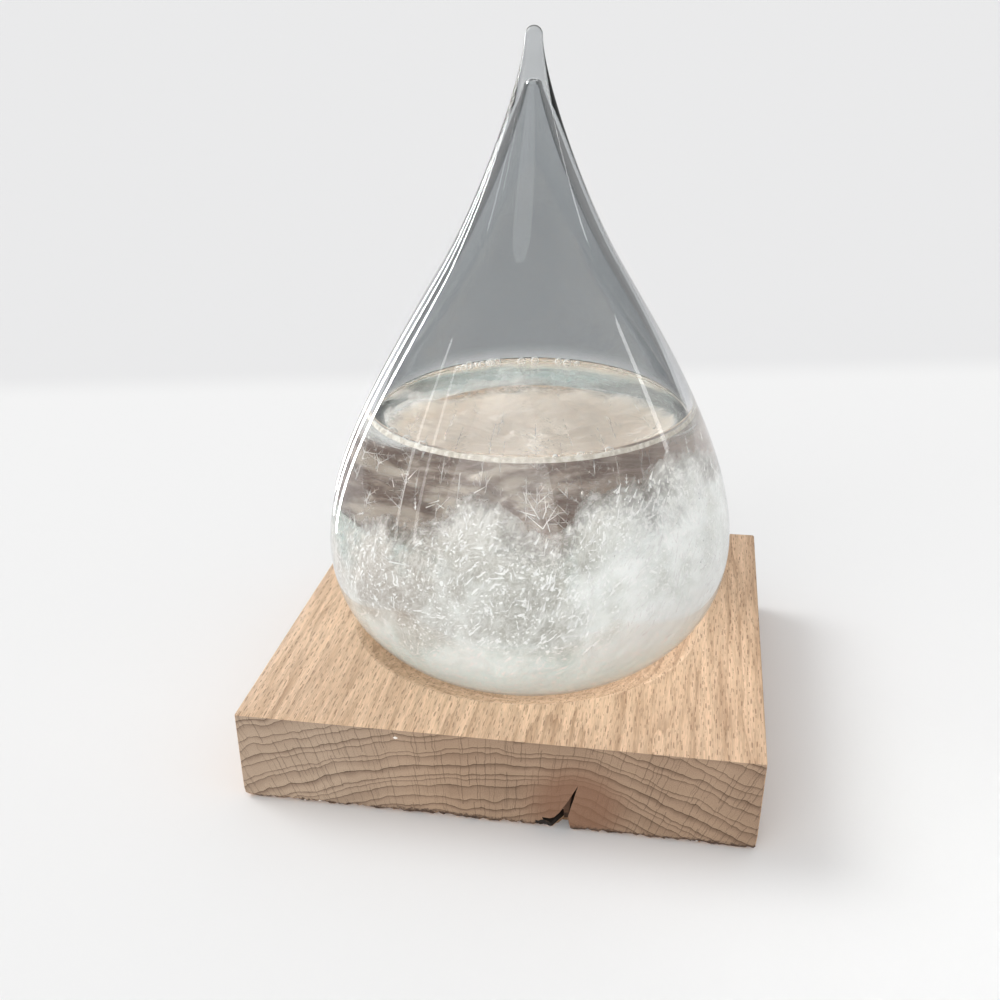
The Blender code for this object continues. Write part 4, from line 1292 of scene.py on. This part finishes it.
BLADES = (
    # bearing of the root from the front towards the right, its share of the height from foot to
    # surface, then the lean from level, the length, and the width as a share of the length
    (13, 0.82, 33, 0.0030, 0.05), (12, 0.80, 57, 0.0050, 0.03), (12, 0.83, 68, 0.0026, 0.06),
    (13, 0.85, 93, 0.0030, 0.05), (11, 0.83, 119, 0.0044, 0.03), (12, 0.80, 138, 0.0050, 0.03),
    (10, 0.84, 163, 0.0034, 0.05), (13, 0.77, 262, 0.0036, 0.05), (14, 0.79, 104, 0.0024, 0.07),
    (-20, 0.86, 205, 0.0024, 0.09), (-18, 0.84, 160, 0.0018, 0.12), (-24, 0.83, 30, 0.0020, 0.10),
    (-33, 0.90, 58, 0.0026, 0.08), (-38, 0.86, 130, 0.0020, 0.10), (-9, 0.90, 35, 0.0024, 0.08),
    (17, 0.43, 2, 0.0090, 0.05), (22, 0.435, 1, 0.0080, 0.06), (26, 0.42, 4, 0.0050, 0.08),
    (-34, 0.62, 8, 0.0060, 0.06), (46, 0.66, 62, 0.0058, 0.08), (52, 0.52, 66, 0.0066, 0.08),
)

BLADE_FLATNESS = 0.35
BLADE_OFF_MASS = 0.0004
BLADE_TIP_RADIUS = 0.00002
BLADE_INWARD = 0.06
BLADE_SLOPE_STEP = 0.002

blade_shape = bmesh.new()
for bearing, share, lean, length, width in BLADES:
    a = math.radians(bearing - 90.0)
    z = foot_z + (surface_z - foot_z) * share
    distance = wall_distance(z)
    r, z = wall_spot(distance)
    above = wall_spot(distance + BLADE_SLOPE_STEP)
    around = Vector((-math.sin(a), math.cos(a), 0.0))
    rising = Vector((above.x - r, 0.0, above.y - z)).normalized()
    rising = Vector((rising.x * math.cos(a), rising.x * math.sin(a), rising.z))
    out = around.cross(rising).normalized()
    along = around * math.cos(math.radians(lean)) + rising * math.sin(math.radians(lean))
    along = (along - out * BLADE_INWARD).normalized()
    root = Vector((r * math.cos(a), r * math.sin(a), z)) + out * BLADE_OFF_MASS
    turned = Matrix((along.cross(out), out, along)).transposed().to_4x4()
    flat = Matrix.Diagonal((1.0, BLADE_FLATNESS, 1.0, 1.0))
    spot = Matrix.Translation(root + along * length / 2) @ turned @ flat
    bmesh.ops.create_cone(
        blade_shape, cap_ends=True, segments=5, radius1=length * width / 2,
        radius2=BLADE_TIP_RADIUS, depth=length, matrix=spot,
    )
blade_mesh = smooth_mesh("grown_blades", blade_shape)
add_piece("grown_blades", blade_mesh, crystal_white, "drop", "feathered_crystals")

# ---------------------------------------------------------------- floor
# A wide pale sweep under the block. It turns grey in the distance, where a plain wall would
# stand behind a table, and it takes the block's soft shadow.

FLOOR_HALF = 30.0
WALL_WAY = (-0.19, 0.98, 0.0)
WALL_NEAR, WALL_FAR = 0.225, 0.262
TABLE_WHITE = (0.88, 0.88, 0.88, 1.0)
WALL_GREY = (0.80, 0.80, 0.805, 1.0)

floor_shape = bmesh.new()
bmesh.ops.create_grid(floor_shape, x_segments=1, y_segments=1, size=FLOOR_HALF)
floor_mesh = bpy.data.meshes.new("floor")
floor_shape.to_mesh(floor_mesh)
floor_shape.free()
floor = bpy.data.objects.new("floor", floor_mesh)
scene.collection.objects.link(floor)
table, tree, shader = new_material("pale_table")
place = node(tree, "ShaderNodeTexCoord").outputs["Object"]
far = ramp(tree, vector_calc(tree, "DOT_PRODUCT", place, WALL_WAY), WALL_NEAR, WALL_FAR)
colour = mix(tree, far, TABLE_WHITE, WALL_GREY)
feed(tree, shader, {"Base Color": colour, "Roughness": 0.9, "Specular IOR Level": 0.0})
floor_mesh.materials.append(table)

# ---------------------------------------------------------------- lights
# A soft high key from behind on the left, with an even pale surround. Tall narrow strips stand
# for the bars of a window and draw the bright lines down the glass.

SUNS = (
    # strength, width across the sky in degrees, the way its light travels, and whether its disc
    # is mirrored in the glass
    (1.05, 30, (0.75, -0.28, -0.72), True),
    (1.66, 70, (0.15, 0.85, -0.18), False),
)
AMBIENT = 0.67
# How bright the surround is out at the sides, at the edges of what the glass mirrors, and
# behind the viewer, against 1 at its middle.
SIDE_GLOOM = 0.2
EDGE_GLOOM = 0.3
FRONT_GLOOM = 0.25
STRIPS = (
    # bearing from +Y towards +X and lean in degrees, then how far out the foot and the head are,
    # the heights of both, the width, and the brightness
    (-40.0, 0.0, 0.15, 0.42, 0.002, 0.40, 0.005, 22.0),
    (-51.0, 0.0, 0.15, 0.42, 0.002, 0.40, 0.007, 24.0),
    (-62.0, 0.0, 0.15, 0.42, 0.002, 0.40, 0.008, 30.0),
    (-108.0, 14.0, 0.42, 0.42, 0.050, 0.350, 0.015, 4.0),
    (-121.0, 12.0, 0.42, 0.42, 0.070, 0.370, 0.015, 3.5),
    (74.0, -8.0, 0.42, 0.42, 0.150, 0.300, 0.028, 4.5),
)

for number, (bearing, lean, foot_out, head_out, foot, head, wide, bright) in enumerate(STRIPS, 1):
    run, climb = head_out - foot_out, head - foot
    length = math.hypot(run, climb)
    strip_light = bpy.data.lights.new(f"window_strip_{number}", "AREA")
    strip_light.shape = "RECTANGLE"
    strip_light.size, strip_light.size_y = wide, length
    strip_light.energy = bright * math.pi * wide * length
    strip = bpy.data.objects.new(strip_light.name, strip_light)
    middle = (0.0, (foot_out + head_out) / 2, (foot + head) / 2)
    strip.matrix_world = (
        Matrix.Rotation(math.radians(-bearing), 4, "Z")
        @ Matrix.Translation(middle)
        @ Matrix.Rotation(math.radians(-90.0) - math.atan2(run, climb), 4, "X")
        @ Matrix.Rotation(math.radians(lean), 4, "Z")
    )
    strip.visible_camera = False
    strip.visible_diffuse = False
    strip.visible_transmission = False
    scene.collection.objects.link(strip)

for number, (strength, width, way, disc_shows) in enumerate(SUNS, 1):
    sun_light = bpy.data.lights.new(f"soft_sun_{number}", "SUN")
    sun_light.energy = strength
    sun_light.angle = math.radians(width)
    sun = bpy.data.objects.new(sun_light.name, sun_light)
    sun.rotation_euler = Vector(way).to_track_quat("-Z", "Y").to_euler()
    sun.visible_glossy = disc_shows
    scene.collection.objects.link(sun)

world = bpy.data.worlds.new("surround")
world.use_nodes = True
scene.world = world
tree = world.node_tree
background = tree.nodes["Background"]
background.inputs["Color"].default_value = (1.0, 1.0, 1.0, 1.0)
way = node(tree, "ShaderNodeTexCoord").outputs["Generated"]
way_x, way_y, _ = split(tree, way)
ray = node(tree, "ShaderNodeLightPath").outputs
sides = ramp(tree, calc(tree, "ABSOLUTE", way_x), 0.80, 0.97, 1.0, SIDE_GLOOM)
aside = calc(tree, "ABSOLUTE", calc(tree, "SUBTRACT", way_x, WALL_WAY[0]))
mirrored = ramp(tree, aside, 0.15, 0.38, 1.0, EDGE_GLOOM)
mirrored = calc(tree, "MAXIMUM", mirrored, calc(tree, "SUBTRACT", 1.0, ray["Is Glossy Ray"]))
sides = calc(tree, "MINIMUM", sides, mirrored)
sides = calc(tree, "MINIMUM", sides, ramp(tree, way_y, -0.45, 0.10, FRONT_GLOOM, 1.0))
room = calc(tree, "MAXIMUM", ray["Is Camera Ray"], sides)
seen = calc(tree, "MAXIMUM", ray["Is Glossy Ray"], ray["Is Transmission Ray"])
seen = calc(tree, "MAXIMUM", ray["Is Camera Ray"], seen)
room = calc(tree, "SUBTRACT", room, AMBIENT)
tree.links.new(calc(tree, "MULTIPLY_ADD", seen, room, AMBIENT), background.inputs["Strength"])

# ---------------------------------------------------------------- camera
# Held near and above the block, a little to its right, and looking down on it. The lens is
# shifted, so that the drop keeps its place in the view.

CAMERA_PLACE = Vector((0.03048, -0.22837, 0.14174))
CAMERA_BEARING, CAMERA_DIP, CAMERA_ROLL = 12.94, 30.21, -1.95
LENS_LENGTH, SENSOR_WIDTH = 42.32, 36.0
LENS_SHIFT = (0.0692, 0.1614)
LIGHT_BOUNCES, DIFFUSE_BOUNCES = 24, 6

lens = bpy.data.cameras.new("camera")
lens.lens = LENS_LENGTH
lens.sensor_width = SENSOR_WIDTH
lens.shift_x, lens.shift_y = LENS_SHIFT
camera = bpy.data.objects.new("camera", lens)
camera.matrix_world = (
    Matrix.Translation(CAMERA_PLACE)
    @ Matrix.Rotation(math.radians(CAMERA_BEARING), 4, "Z")
    @ Matrix.Rotation(math.radians(90.0 - CAMERA_DIP), 4, "X")
    @ Matrix.Rotation(math.radians(CAMERA_ROLL), 4, "Z")
)
scene.collection.objects.link(camera)
scene.camera = camera
scene.view_settings.view_transform = "Standard"
scene.cycles.max_bounces = LIGHT_BOUNCES
scene.cycles.transmission_bounces = LIGHT_BOUNCES
scene.cycles.transparent_max_bounces = LIGHT_BOUNCES
scene.cycles.diffuse_bounces = DIFFUSE_BOUNCES
